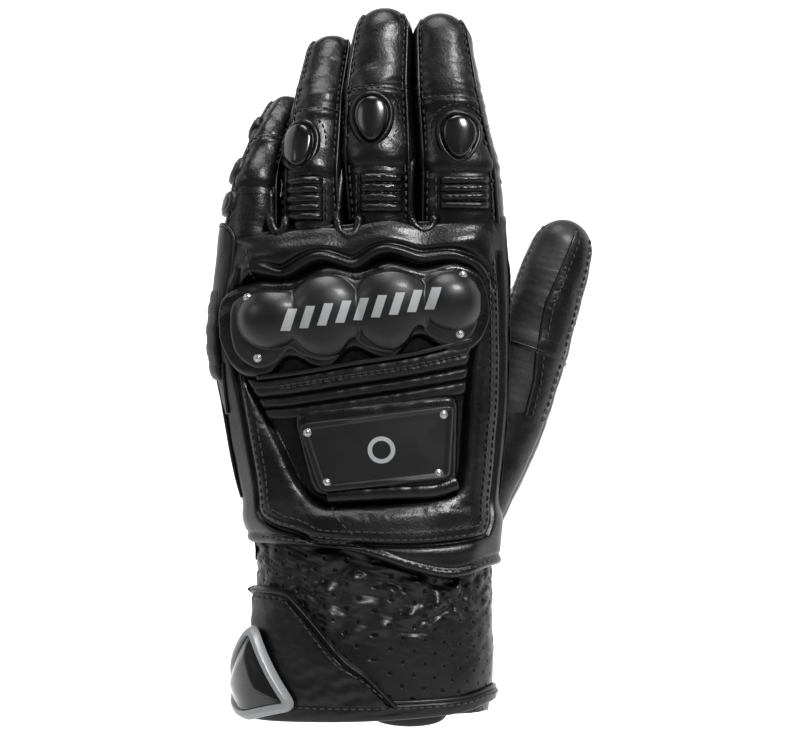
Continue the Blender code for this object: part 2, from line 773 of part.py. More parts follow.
def make_hand(mound, guides):
    """The back and palm of the hand, each a half shell, open where the thumb leaves them."""
    edge = 1.2  # degrees each half stays back from the side seam
    back = half_shell(
        "back_panel", HAND, 180 + edge, 360 - edge, wrist_low, hand_high, "back_leather", 17, 9
    )
    palm = half_shell(
        "palm_panel", HAND, edge, 180 - edge, wrist_low, hand_high, "palm_leather", 17, 9
    )
    for panel in (back, palm):
        cut(panel, *guides)
    angles = np.radians(np.linspace(0, 360, 33)[:-1])
    rings = [HAND.at(angles, z, JUNCTION_GAP) for z in HAND_STATIONS[:, 0]]
    rings[0][:, 2] -= 20 * MM
    cut(mound, cutter(loft("hand_cutter", rings, "palm_leather")))


def guard_height(x, z):
    """How far the guard stands off at X and Z: a low arch with four rounded domes."""
    height = np.zeros_like(x)
    for cx, cz in zip(DOME_X, DOME_Z):
        away = ((x - cx) / DOME_RADIUS) ** 2 + ((z - cz) / (GUARD_HALF_HEIGHT * 0.9)) ** 2
        height = np.maximum(height, np.clip(1 - away, 0, 1) ** 0.6)
    return DOME_HEIGHT * height


def strip(name, xs, middle, half, lift, top, finish, under=None, rows=9, form=HAND):
    """A long piece across the back of the hand: at each X a run of points in Z, middle plus and
    minus half, whose underside follows the skin and whose top stands up by a function of X, Z and
    the share of the half width."""
    shares = np.linspace(-1, 1, rows)
    rings = []
    for x, z, reach in zip(xs, middle, half):
        zs = z + shares * reach
        across = np.full_like(zs, x)
        skin = form.depth(across, zs, -1, lift)
        low = 0 if under is None else under(across, zs, shares)
        face = np.stack([across, skin - top(across, zs, shares), zs], axis=-1)
        rings.append(np.concatenate([face, np.stack([across, skin - low, zs], axis=-1)[::-1]]))
    return strip_loft(name, rings, rows, finish)


def make_guard():
    """The moulded knuckle guard on its padded frame, held by four rivets."""
    xs = np.linspace(*GUARD_END_X, 29)
    middle = np.interp(xs, DOME_X, DOME_Z)
    nearest = np.abs(xs[:, None] - DOME_X[None, :]).min(axis=1) / DOME_RADIUS
    half = GUARD_HALF_HEIGHT - GUARD_LOBE * np.clip(nearest, 0, 1) ** 2
    lift = 2 * GAP + GUARD_PAD
    strip(
        "knuckle_guard", xs, middle, half, lift,
        lambda x, z, share: GUARD_WALL + guard_height(x, z), "guard_shell",
        under=lambda x, z, share: 0.85 * guard_height(x, z), rows=7,
    )
    margin = GUARD_PAD_MARGIN
    xs = np.linspace(GUARD_END_X[0] - 0.6 * margin, GUARD_END_X[1] + margin, 25)
    half = GUARD_HALF_HEIGHT + margin - 4 * MM * np.linspace(-1, 1, len(xs)) ** 8
    strip(
        "knuckle_pad", xs, np.interp(xs, DOME_X, DOME_Z), half, GAP,
        lambda x, z, share: GUARD_PAD - 1.4 * MM * np.abs(share) ** 6, "back_leather", rows=7,
    )
    for k, place in enumerate(GUARD_RIVETS):
        rivet(f"guard_rivet_{k + 1}", place, guard_top, lift + GUARD_WALL)


def guard_top(x, z, lift):
    """The guard's outer face, as a surface for its rivets."""
    return HAND.depth(x, z, -1, lift) - guard_height(np.array(x), np.array(z))


def split_long(outline, steps):
    """The outline with its long sides divided, so that it can follow a curved surface."""
    longest = 1.2 * np.ptp(outline[:, 0]) / steps
    points = []
    for here, there in zip(outline, np.roll(outline, -1, axis=0)):
        count = max(1, int(math.ceil(np.linalg.norm(there - here) / longest)))
        for t in range(count):
            points.append(here + (there - here) * t / count)
    return np.array(points)


def make_back_plate():
    """The flat plate with its rivets and pad, and the ribbed band between plate and guard."""
    corners = np.array(PLATE_CORNERS) * MM
    plate = split_long(rounded(corners, 4.5 * MM, 3), 8)
    pad = split_long(grown(rounded(corners, 5 * MM, 3), PLATE_PAD_MARGIN), 8)
    patch("plate_pad", pad, hand_back, GAP, PLATE_PAD, "back_leather", crown=0.6 * MM, rings=3)
    lift = 2 * GAP + PLATE_PAD + 0.6 * MM
    patch("back_plate", plate, hand_back, lift, PLATE_THICKNESS, "guard_shell", rings=2)
    for k, place in enumerate(PLATE_RIVETS):
        rivet(f"plate_rivet_{k + 1}", place, hand_back, lift + PLATE_THICKNESS)


def make_rib_band():
    """Two slanted rolls of leather between the guard's frame and the plate's pad."""
    xs = np.linspace(*RIB_END_X, 15)
    below = GUARD_HALF_HEIGHT + GUARD_PAD_MARGIN + RIB_PITCH * 0.65
    middle = np.interp(xs, DOME_X, DOME_Z) - below
    strip(
        "accordion_band", xs, middle, np.full_like(xs, RIB_PITCH * 0.6), GAP,
        lambda x, z, share: 0.8 * MM + RIB_HEIGHT * 0.6 * np.abs(np.sin(share * math.pi)),
        "back_leather",
    )


def make_palm_trim():
    """The flat reinforcement patch and the heel pad on the palm, and the guard on the edge."""
    x, z, width, height = np.array(PALM_PATCH) * MM
    outline = ellipse(x, z, width, height, 24, 4)
    middle = outline.mean(axis=0)
    rings = []
    for share, outside in ((0.5, False), (1, False), (1, True), (0.5, True)):
        flat = middle + (outline - middle) * share
        y = HAND.depth(flat[:, 0], flat[:, 1], 1, GAP)
        if outside:
            y = y * 0 + PALM_PATCH_PLANE
        rings.append(np.stack([flat[:, 0], y, flat[:, 1]], axis=-1))
    loft("palm_patch", rings, "palm_leather")

    x, z, width, height = np.array(HEEL_PAD) * MM
    outline = ellipse(x, z, width, height, 20, 3)
    middle = outline.mean(axis=0)
    rings = []
    for share, up in ((0.5, 0), (1, 0), (1, 1.6), (0.8, 2.8), (0.4, 3.2)):
        flat = middle + (outline - middle) * share
        y = HAND.depth(flat[:, 0], flat[:, 1], 1, GAP) + up * MM
        rings.append(np.stack([flat[:, 0], y, flat[:, 1]], axis=-1))
    loft("heel_pad", rings, "moulded_rubber")
    band(
        "side_guard", HAND, 166, 204, 128 * MM, 32 * MM, GAP, 2.0 * MM, "moulded_rubber",
        count=11, rows=9,
    )


def main():
    clear_scene()
    make_cuff()
    make_strap()
    mound, guides = make_thumb()
    make_hand(mound, guides)
    make_guard()
    make_rib_band()
    make_back_plate()
    make_palm_trim()
    for name, sizes in FINGERS.items():
        axes = make_finger(name, sizes)
        make_finger_trim(name, axes)
        if name == "little":
            make_little_armour(axes)
    bpy.context.view_layer.update()


main()
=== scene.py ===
"""Looks of a left-hand riding glove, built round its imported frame."""

import json
import math

import bpy
import numpy as np
from bpy.props import FloatProperty, FloatVectorProperty, PointerProperty
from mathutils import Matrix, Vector


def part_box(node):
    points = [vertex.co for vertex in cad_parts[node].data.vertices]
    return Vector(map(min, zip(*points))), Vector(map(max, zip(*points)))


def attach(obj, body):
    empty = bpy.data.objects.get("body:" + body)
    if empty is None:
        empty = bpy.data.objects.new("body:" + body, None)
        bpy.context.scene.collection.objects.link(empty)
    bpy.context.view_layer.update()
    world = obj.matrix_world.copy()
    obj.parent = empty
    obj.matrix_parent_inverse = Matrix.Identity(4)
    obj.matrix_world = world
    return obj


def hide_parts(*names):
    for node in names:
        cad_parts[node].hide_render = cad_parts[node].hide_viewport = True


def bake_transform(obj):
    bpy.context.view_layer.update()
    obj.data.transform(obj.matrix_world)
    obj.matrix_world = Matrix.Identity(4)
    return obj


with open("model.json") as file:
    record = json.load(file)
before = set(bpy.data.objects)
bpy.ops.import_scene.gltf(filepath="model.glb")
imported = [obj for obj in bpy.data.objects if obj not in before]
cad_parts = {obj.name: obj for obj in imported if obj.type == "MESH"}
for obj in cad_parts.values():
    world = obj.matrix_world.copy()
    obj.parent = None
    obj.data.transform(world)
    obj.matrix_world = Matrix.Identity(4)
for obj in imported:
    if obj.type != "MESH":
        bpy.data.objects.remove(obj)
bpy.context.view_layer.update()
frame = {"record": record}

bl_info = {
    "name": "Riding glove",
    "version": (1, 0, 0),
    "blender": (4, 5, 0),
    "location": "View3D > Sidebar > Glove",
    "description": "Builds the leather, armour, stitching and strap of a short riding glove",
    "category": "Object",
}

MM = 0.001


# ---------------------------------------------------------------- numbers that follow a curve


def smooth(t):
    """An S-shaped step from 0 to 1."""
    t = np.clip(t, 0, 1)
    return t * t * (3 - 2 * t)


def pillow(inside, width):
    """A quarter-round rise: 0 at an edge and 1 at a distance of width inside it."""
    t = np.clip(inside / width, 0, 1)
    return np.sqrt(1 - (1 - t) ** 2)


def bell(distance, width):
    """A bump of height 1 that has fallen to 0.37 at a distance of width."""
    return np.exp(-((distance / width) ** 2))


def columns_at(at, knots, values):
    """Each column of a table read at places between its knots."""
    return np.stack([np.interp(at, knots, column) for column in values.T], axis=-1)


def spline(points, count, closed=False):
    """Points evenly spaced along a Catmull-Rom curve through the given ones."""
    points = np.asarray(points, float)
    if closed:
        p = np.concatenate([points[-1:], points, points[:2]])
    else:
        ends = (2 * points[:1] - points[1:2], 2 * points[-1:] - points[-2:-1])
        p = np.concatenate([ends[0], points, ends[1]])
    t = np.linspace(0, 1, 13)[:-1][:, None, None]
    a, b, c, d = p[:-3], p[1:-2], p[2:-1], p[3:]
    fine = 0.5 * (
        2 * b + (c - a) * t + (2 * a - 5 * b + 4 * c - d) * t**2 + (3 * b - a - 3 * c + d) * t**3
    )
    fine = np.swapaxes(fine, 0, 1).reshape(-1, points.shape[1])
    fine = np.concatenate([fine, points[:1] if closed else points[-1:]])
    length = np.concatenate([[0], np.cumsum(np.linalg.norm(np.diff(fine, axis=0), axis=1))])
    at = np.linspace(0, length[-1], count + 1 if closed else count)
    if closed:
        at = at[:-1]
    return columns_at(at, length, fine)


def inside_by(x, z, outline):
    """How far a point of X and Z lies inside a closed outline, negative outside it."""
    shape = x.shape
    p = np.stack([x.ravel(), z.ravel()], axis=-1)
    best = np.full(len(p), 1e9)
    winding = np.zeros(len(p), bool)
    for a, b in zip(outline, np.roll(outline, -1, axis=0)):
        edge = b - a
        t = np.clip(((p - a) @ edge) / max(edge @ edge, 1e-18), 0, 1)
        best = np.minimum(best, np.linalg.norm(p - a - t[:, None] * edge, axis=1))
        crosses = (a[1] > p[:, 1]) != (b[1] > p[:, 1])
        rise = edge[1] if abs(edge[1]) > 1e-12 else 1e-12
        winding ^= crosses & (p[:, 0] < a[0] + (p[:, 1] - a[1]) * edge[0] / rise)
    return np.where(winding, best, -best).reshape(shape)


def from_line(x, z, line):
    """The distance of a point of X and Z from an open line."""
    shape = x.shape
    p = np.stack([x.ravel(), z.ravel()], axis=-1)
    best = np.full(len(p), 1e9)
    for a, b in zip(line[:-1], line[1:]):
        edge = b - a
        t = np.clip(((p - a) @ edge) / max(edge @ edge, 1e-18), 0, 1)
        best = np.minimum(best, np.linalg.norm(p - a - t[:, None] * edge, axis=1))
    return best.reshape(shape)


def ripples(u, v, seed, waves=9, low=0.5, high=2.0):
    """Irregular ripples between about -1 and 1: a sum of waves whose directions, lengths and
    phases come from a seed. u and v are in wavelengths."""
    rng = np.random.default_rng(seed)
    total = np.zeros(np.broadcast(u, v).shape)
    for _ in range(waves):
        turn, phase = rng.uniform(0, 2 * math.pi, 2)
        rate = rng.uniform(low, high) * 2 * math.pi
        total += np.sin(rate * (u * math.cos(turn) + v * math.sin(turn)) + phase) / rate**0.5
    return total / waves**0.5 * 1.6


# ---------------------------------------------------------------- meshes


def put(name, points, faces, finish):
    """A mesh object from arrays of points and faces, smooth, with its material."""
    mesh = bpy.data.meshes.new(name)
    mesh.from_pydata(np.asarray(points, float).reshape(-1, 3).tolist(), [], faces)
    mesh.polygons.foreach_set("use_smooth", np.full(len(mesh.polygons), True))
    mesh.materials.append(finish)
    mesh.validate()
    mesh.update()
    made = bpy.data.objects.new(name, mesh)
    bpy.context.scene.collection.objects.link(made)
    return made


def quads(rows, columns, wrap=False, first=0, flip=False):
    """The faces of a grid of points, closed round its columns when it wraps."""
    r, c = np.meshgrid(np.arange(rows - 1), np.arange(columns - (not wrap)), indexing="ij")
    n = (c + 1) % columns
    faces = np.stack([r * columns + c, r * columns + n, (r + 1) * columns + n, (r + 1) * columns + c])
    faces = faces.reshape(4, -1).T + first
    return faces[:, ::-1] if flip else faces


def fan(start, columns, tip, flip=False):
    """Triangles from a ring of points, numbered from start, to one point."""
    c = np.arange(columns)
    faces = np.stack([start + c, start + (c + 1) % columns, np.full(columns, tip)], axis=-1)
    return (faces[:, ::-1] if flip else faces).tolist()


def sheet_mesh(name, grid, finish, wrap=False, flip=False, close_end=False, thickness=0.0):
    """A surface over a grid of points. close_end draws the last row together in one point, and a
    thickness gives it an inner wall."""
    rows, columns = grid.shape[:2]
    points = grid.reshape(-1, 3)
    faces = quads(rows, columns, wrap, flip=flip).tolist()
    if close_end:
        tip = grid[-1].mean(axis=0)
        points = np.concatenate([points, tip[None]])
        faces += fan((rows - 1) * columns, columns, len(points) - 1, flip)
    made = put(name, points, faces, finish)
    if thickness:
        wall = made.modifiers.new("Wall", "SOLIDIFY")
        wall.thickness = thickness
        wall.offset = -1
    return made


def closed_loft(name, rings, finish, flip=False):
    """A closed body over rings of points, its two ends drawn together in their middles."""
    rings = np.asarray(rings, float)
    rows, columns = rings.shape[:2]
    points = np.concatenate([rings.reshape(-1, 3), rings[0].mean(0)[None], rings[-1].mean(0)[None]])
    faces = quads(rows, columns, True, flip=flip).tolist()
    faces += fan(0, columns, rows * columns, not flip)
    faces += fan((rows - 1) * columns, columns, rows * columns + 1, flip)
    return put(name, points, faces, finish)


def unit(vectors):
    """Vectors scaled to length 1."""
    return vectors / (np.linalg.norm(vectors, axis=-1, keepdims=True) + 1e-12)


def cord_mesh(name, path, normals, radius, finish, closed=False, sides=8, flat=1.0):
    """A round bead carried along a path, such as a piping: circles across the path."""
    tangent = unit(np.gradient(path, axis=0))
    side = unit(np.cross(tangent, normals))
    up = np.cross(side, tangent)
    turn = np.linspace(0, 2 * math.pi, sides, endpoint=False)
    c, s = np.cos(turn)[None, :, None], np.sin(turn)[None, :, None]
    rings = path[:, None] + radius * (c * side[:, None] + flat * s * up[:, None])
    if closed:
        faces = quads(len(path), sides, True).tolist()
        last = (len(path) - 1) * sides
        k = np.arange(sides)
        n = (k + 1) % sides
        faces += np.stack([last + k, last + n, n, k], axis=-1).tolist()
        return put(name, rings, faces, finish)
    return closed_loft(name, rings, finish)


def stitch_mesh(name, paths, finish, pitch=2.6 * MM, length=1.9 * MM, radius=0.28 * MM):
    """Rows of stitches in one piece: each a short bead that dives at both ends into the leather.
    paths is a list of (points, normals)."""
    turn = np.linspace(0, 2 * math.pi, 6, endpoint=False)
    along = np.array((-0.5, -0.34, 0, 0.34, 0.5))
    swell = np.array((0.35, 0.85, 1.0, 0.85, 0.35))
    sink = np.array((-0.9, 0.1, 0.55, 0.1, -0.9))
    walls = quads(5, 6, True)
    caps = np.array(((5, 4, 3, 2, 1, 0), (24, 25, 26, 27, 28, 29)))
    points, faces, first = [], [], 0
    for path, normals in paths:
        run = np.linalg.norm(np.diff(path, axis=0), axis=1)
        total = np.concatenate([[0], np.cumsum(run)])
        count = max(1, int(total[-1] / pitch))
        at = (np.arange(count) + 0.5) * total[-1] / count
        step = 0.3 * MM
        centre, ahead, back = (columns_at(at + d, total, path) for d in (0.0, step, -step))
        tangent = unit(ahead - back)
        side = unit(np.cross(tangent, columns_at(at, total, normals)))
        up = np.cross(side, tangent)
        ring = side[:, None, None] * np.cos(turn)[None, None, :, None] * swell[None, :, None, None]
        ring = ring + up[:, None, None] * (
            np.sin(turn)[None, None, :, None] * swell[None, :, None, None]
            + sink[None, :, None, None]
        )
        body = centre[:, None, None] + radius * ring
        body = body + (along * length)[None, :, None, None] * tangent[:, None, None]
        points.append(body.reshape(-1, 3))
        bases = first + 30 * np.arange(count)[:, None, None]
        faces += (walls + bases).reshape(-1, 4).tolist()
        faces += (caps + bases).reshape(-1, 6).tolist()
        first += 30 * count
    return put(name, np.concatenate(points), faces, finish)


# ---------------------------------------------------------------- materials


def shader_nodes(name, base, roughness, metallic=0.0):
    """A Principled material and the tools to add nodes to it."""
    made = bpy.data.materials.new(name)
    made.use_nodes = True
    tree = made.node_tree
    shader = tree.nodes["Principled BSDF"]
    shader.inputs["Base Color"].default_value = (*base, 1)
    shader.inputs["Roughness"].default_value = roughness
    shader.inputs["Metallic"].default_value = metallic
    return made, tree, shader


def node(tree, kind, **inputs):
    """A node with its inputs set: numbers, colours or other nodes' outputs."""
    made = tree.nodes.new(kind)
    for key, value in inputs.items():
        socket = made.inputs[key.replace("_", " ")] if isinstance(key, str) else made.inputs[key]
        if isinstance(value, bpy.types.NodeSocket):
            tree.links.new(value, socket)
        else:
            socket.default_value = value
    return made


def math_node(tree, operation, a, b=0.0):
    """Arithmetic on two sockets or numbers."""
    made = tree.nodes.new("ShaderNodeMath")
    made.operation = operation
    for k, value in enumerate((a, b)):
        if isinstance(value, bpy.types.NodeSocket):
            tree.links.new(value, made.inputs[k])
        else:
            made.inputs[k].default_value = value
    return made.outputs[0]


def spread(tree, value, low, high, to_low, to_high):
    """A value remapped from one range to another, held at its ends."""
    made = tree.nodes.new("ShaderNodeMapRange")
    tree.links.new(value, made.inputs["Value"])
    numbers = (low, high, to_low, to_high)
    for key, number in zip(("From Min", "From Max", "To Min", "To Max"), numbers):
        made.inputs[key].default_value = number
    return made.outputs["Result"]


def bump(tree, shader, height, distance, strength=1.0, below=None):
    """Adds a bump of a height socket, on top of another bump if there is one."""
    made = tree.nodes.new("ShaderNodeBump")
    made.inputs["Distance"].default_value = distance
    made.inputs["Strength"].default_value = strength
    tree.links.new(height, made.inputs["Height"])
    if below is not None:
        tree.links.new(below, made.inputs["Normal"])
    tree.links.new(made.outputs["Normal"], shader.inputs["Normal"])
    return made.outputs["Normal"]


def leather(name, base, roughness, grain=0.75 * MM, depth=0.07 * MM, creases=1.0, holes=False):
    """Grained leather: small cells with soft edges for the pores, finer noise in them, slow
    creases across, and a colour and gloss that vary over centimetres."""
    made, tree, shader = shader_nodes(name, base, roughness)
    place = tree.nodes.new("ShaderNodeTexCoord").outputs["Object"]
    cells = node(tree, "ShaderNodeTexVoronoi", Vector=place, Scale=1 / grain, Randomness=1.0)
    cells.feature = "SMOOTH_F1"
    fine = node(tree, "ShaderNodeTexNoise", Vector=place, Scale=2.2 / grain, Detail=3.0)
    slow = node(tree, "ShaderNodeTexNoise", Vector=place, Scale=55.0, Detail=4.0, Roughness=0.6)
    crease = node(
        tree, "ShaderNodeTexNoise", Vector=place, Scale=240.0, Detail=3.0, Distortion=1.2
    )
    shader.inputs["Specular IOR Level"].default_value = 0.38
    shader.inputs["Coat Weight"].default_value = 0.10
    shader.inputs["Coat Roughness"].default_value = 0.22
    dark = tuple(0.6 * c for c in base)
    light = tuple(1.7 * c + 0.0008 for c in base)
    mix = tree.nodes.new("ShaderNodeMix")
    mix.data_type = "RGBA"
    mix.inputs["A"].default_value = (*dark, 1)
    mix.inputs["B"].default_value = (*light, 1)
    tone = spread(tree, slow.outputs["Fac"], 0.32, 0.72, 0.0, 1.0)
    tree.links.new(tone, mix.inputs["Factor"])
    colour = mix.outputs["Result"]
    gloss = spread(tree, slow.outputs["Fac"], 0.3, 0.7, roughness - 0.06, roughness + 0.10)
    gloss = math_node(tree, "ADD", gloss, math_node(tree, "MULTIPLY", cells.outputs["Distance"], 0.12))
    normal = bump(tree, shader, crease.outputs["Fac"], 0.22 * MM * creases, 0.5)
    height = math_node(tree, "MULTIPLY", cells.outputs["Distance"], -1.0)
    height = math_node(tree, "ADD", height, math_node(tree, "MULTIPLY", fine.outputs["Fac"], 0.35))
    normal = bump(tree, shader, height, depth, 0.9, normal)
    if holes:
        colour, gloss = perforate(tree, shader, colour, gloss, normal)
    tree.links.new(colour, shader.inputs["Base Color"])
    tree.links.new(gloss, shader.inputs["Roughness"])
    return made


def perforate(tree, shader, colour, gloss, normal):
    """Round punched holes at the crossings of a slanted lattice on the piece's own UV map, whose
    units are metres round and along the wrist."""
    uv = tree.nodes.new("ShaderNodeUVMap")
    uv.uv_map = "surface"
    split = tree.nodes.new("ShaderNodeSeparateXYZ")
    tree.links.new(uv.outputs["UV"], split.inputs[0])
    column, row = 6.9 * MM, 4.1 * MM
    v = math_node(tree, "ADD", split.outputs["Y"], math_node(tree, "MULTIPLY", split.outputs["X"], 0.12))
    v = math_node(tree, "DIVIDE", v, row)
    line = math_node(tree, "FLOOR", v)
    u = math_node(tree, "DIVIDE", split.outputs["X"], column)
    u = math_node(tree, "ADD", u, math_node(tree, "MULTIPLY", line, 0.5))
    du = math_node(tree, "SUBTRACT", math_node(tree, "FRACT", u), 0.5)
    dv = math_node(tree, "SUBTRACT", math_node(tree, "FRACT", v), 0.5)
    du = math_node(tree, "MULTIPLY", du, column)
    dv = math_node(tree, "MULTIPLY", dv, row)
    away = math_node(
        tree, "SQRT", math_node(
            tree, "ADD", math_node(tree, "MULTIPLY", du, du), math_node(tree, "MULTIPLY", dv, dv)
        )
    )
    hole = spread(tree, away, 0.48 * MM, 0.64 * MM, 1.0, 0.0)
    lip = spread(tree, away, 0.4 * MM, 0.95 * MM, 0.0, 1.0)
    bump(tree, shader, lip, 0.5 * MM, 1.0, normal)
    # Painted shade: the holes are real, but their near-black colour is darker than the lining behind them and
    # stands for the shade inside them.
    mix = tree.nodes.new("ShaderNodeMix")
    mix.data_type = "RGBA"
    tree.links.new(colour, mix.inputs["A"])
    mix.inputs["B"].default_value = (0.0008, 0.0008, 0.0008, 1)
    tree.links.new(hole, mix.inputs["Factor"])
    return mix.outputs["Result"], math_node(tree, "MAXIMUM", gloss, hole)


def moulded(name, base, roughness, coat=0.0, speckle=0.03 * MM):
    """Moulded plastic or rubber: a fine even texture, faint scuffs and a slightly uneven gloss."""
    made, tree, shader = shader_nodes(name, base, roughness)
    shader.inputs["Coat Weight"].default_value = coat
    shader.inputs["Coat Roughness"].default_value = 0.12
    place = tree.nodes.new("ShaderNodeTexCoord").outputs["Object"]
    fine = node(tree, "ShaderNodeTexNoise", Vector=place, Scale=2600.0, Detail=2.0)
    slow = node(tree, "ShaderNodeTexNoise", Vector=place, Scale=70.0, Detail=5.0, Roughness=0.65)
    gloss = spread(tree, slow.outputs["Fac"], 0.3, 0.75, roughness - 0.05, roughness + 0.12)
    tree.links.new(gloss, shader.inputs["Roughness"])
    bump(tree, shader, fine.outputs["Fac"], speckle, 0.5)
    return made


def metal(name, base, roughness):
    """Bright metal with faint turning marks."""
    made, tree, shader = shader_nodes(name, base, roughness, 1.0)
    place = tree.nodes.new("ShaderNodeTexCoord").outputs["Object"]
    fine = node(tree, "ShaderNodeTexNoise", Vector=place, Scale=1800.0, Detail=3.0)
    gloss = spread(tree, fine.outputs["Fac"], 0.3, 0.7, roughness - 0.02, roughness + 0.05)
    tree.links.new(gloss, shader.inputs["Roughness"])
    return made


def woven(name, base, roughness, pitch=0.9 * MM):
    """Woven cloth: two crossing sets of ridges on object coordinates, a soft sheen, and a colour painted
    lighter on the ridges' crowns and darker in their hollows as highlight and shade.
    """
    made, tree, shader = shader_nodes(name, base, roughness)
    shader.inputs["Sheen Weight"].default_value = 0.25
    place = tree.nodes.new("ShaderNodeTexCoord").outputs["Object"]
    split = tree.nodes.new("ShaderNodeSeparateXYZ")
    tree.links.new(place, split.inputs[0])
    rate = 2 * math.pi / pitch
    x = math_node(tree, "ADD", split.outputs["X"], split.outputs["Y"])
    across = math_node(tree, "SINE", math_node(tree, "MULTIPLY", x, rate))
    up = math_node(tree, "SINE", math_node(tree, "MULTIPLY", split.outputs["Z"], rate))
    weave = math_node(tree, "MULTIPLY", across, up)
    bump(tree, shader, weave, 0.12 * MM, 0.8)
    # Painted shade and highlight: the colour is darker in the weave's hollows and lighter on its crowns,
    # following the bump's height.
    tone = tree.nodes.new("ShaderNodeMix")
    tone.data_type = "RGBA"
    tone.inputs["A"].default_value = (*(0.6 * c for c in base), 1)
    tone.inputs["B"].default_value = (*(1.6 * c for c in base), 1)
    tree.links.new(spread(tree, weave, -1, 1, 0, 1), tone.inputs["Factor"])
    tree.links.new(tone.outputs["Result"], shader.inputs["Base Color"])
    return made


# ---------------------------------------------------------------- the glove's own forms

POWER = 2.4  # of the superellipse across the hand and cuff
LIMB_POWER = 2.15  # and of the one across a finger
# height, left, right, back and palm of the cuff and the hand, in millimetres
BODY_STATIONS = np.array(
    (
        (-8, -40.4, 40.8, -25.4, 26.0),
        (10, -41.3, 43.6, -25.5, 26.0),
        (28, -40.2, 43.6, -24.0, 25.0),
        (45, -38.8, 43.2, -22.5, 23.0),
        (60, -39.9, 44.2, -21.0, 23.5),
        (80, -45.6, 46.0, -19.0, 22.5),
        (100, -49.6, 48.0, -17.5, 21.0),
        (124, -54.0, 48.8, -16.5, 18.5),
        (145, -52.4, 48.8, -15.5, 16.0),
        (164, -50.4, 47.6, -13.5, 13.5),
        (176, -49.0, 46.0, -11.5, 11.5),
    )
) * MM
BODY_FINE = spline(BODY_STATIONS, 200)
FINGERS = {
    "index": {
        "x": (31.6, 31.0, 27.3, 24.7), "y": -3.6, "z": 163, "width": (31.4, 29.0, 24.0, 19.4),
        "depth": (25.5, 23.5, 20.5, 17.5), "length": (21.8, 27, 30), "bend": (4, 8, 8),
    },
    "middle": {
        "x": (4.6, 3.6, 3.4, 5.9), "y": -5.4, "z": 163.5, "width": (23.6, 25.6, 23.6, 19.4),
        "depth": (25.5, 23.5, 21, 17.5), "length": (24, 27.4, 29.6), "bend": (5, 10, 8),
    },
    "ring": {
        "x": (-18.4, -19.0, -16.8, -12.2), "y": -4.9, "z": 161.5, "width": (22.8, 21.2, 19.2, 16.8),
        "depth": (24.5, 22.5, 20, 17), "length": (20.5, 27, 30), "bend": (8, 14, 14),
    },
    "little": {
        "x": (-40.2, -38.6, -33.4, -27.4), "y": -1.6, "z": 159.5,
        "width": (20.8, 17.0, 14.0, 12.6), "depth": (22, 19.4, 16.4, 14.4),
        "length": (20.6, 19, 19.4), "bend": (12, 22, 16),
    },
}
HINGE_DEPTH = 8.0 * MM  # of a finger's axis below its back


def section(turn, power=POWER):
    """Unit superellipse at angles in radians, from +X over +Y."""
    c, s = np.cos(turn), np.sin(turn)
    return np.sign(c) * np.abs(c) ** (2 / power), np.sign(s) * np.abs(s) ** (2 / power)


def body_sizes(z):
    """Middle in X, half width, back depth and palm depth of the hand or cuff at a height."""
    left, right, back, palm = (np.interp(z, BODY_FINE[:, 0], BODY_FINE[:, k]) for k in range(1, 5))
    return (left + right) / 2, (right - left) / 2, -back, palm


def body_at(degrees, z, lift):
    """Points of the hand or cuff at an angle round it and a height, lifted off its skin."""
    middle, half, back, palm = body_sizes(z)
    x, y = section(np.radians(degrees))
    depth = np.where(y < 0, back, palm)
    point = np.stack([middle + half * x, depth * y, z + 0 * x], axis=-1)
    out = np.stack([x / half, y / depth, 0 * x], axis=-1)
    out /= np.linalg.norm(out, axis=-1, keepdims=True) + 1e-9
    return point + out * np.asarray(lift)[..., None]


def on_side(side):
    """The hand's or cuff's back (-1) or palm (1) as a function of X, Z and lift."""

    def place(x, z, lift):
        middle, half, back, palm = body_sizes(z)
        deep = back if side < 0 else palm
        share = np.clip((x - middle) / half, -0.985, 0.985)
        reach = (1 - np.abs(share) ** POWER) ** (1 / POWER)
        slope = np.sign(share) * np.abs(share) ** (POWER - 1) * reach ** (1 - POWER) * deep / half
        away = 1 / np.sqrt(1 + slope**2)
        y = deep * reach
        return np.stack([x + lift * slope * away, side * (y + lift * away), z + 0 * x], axis=-1)

    return place


on_back = on_side(-1)
on_palm = on_side(1)


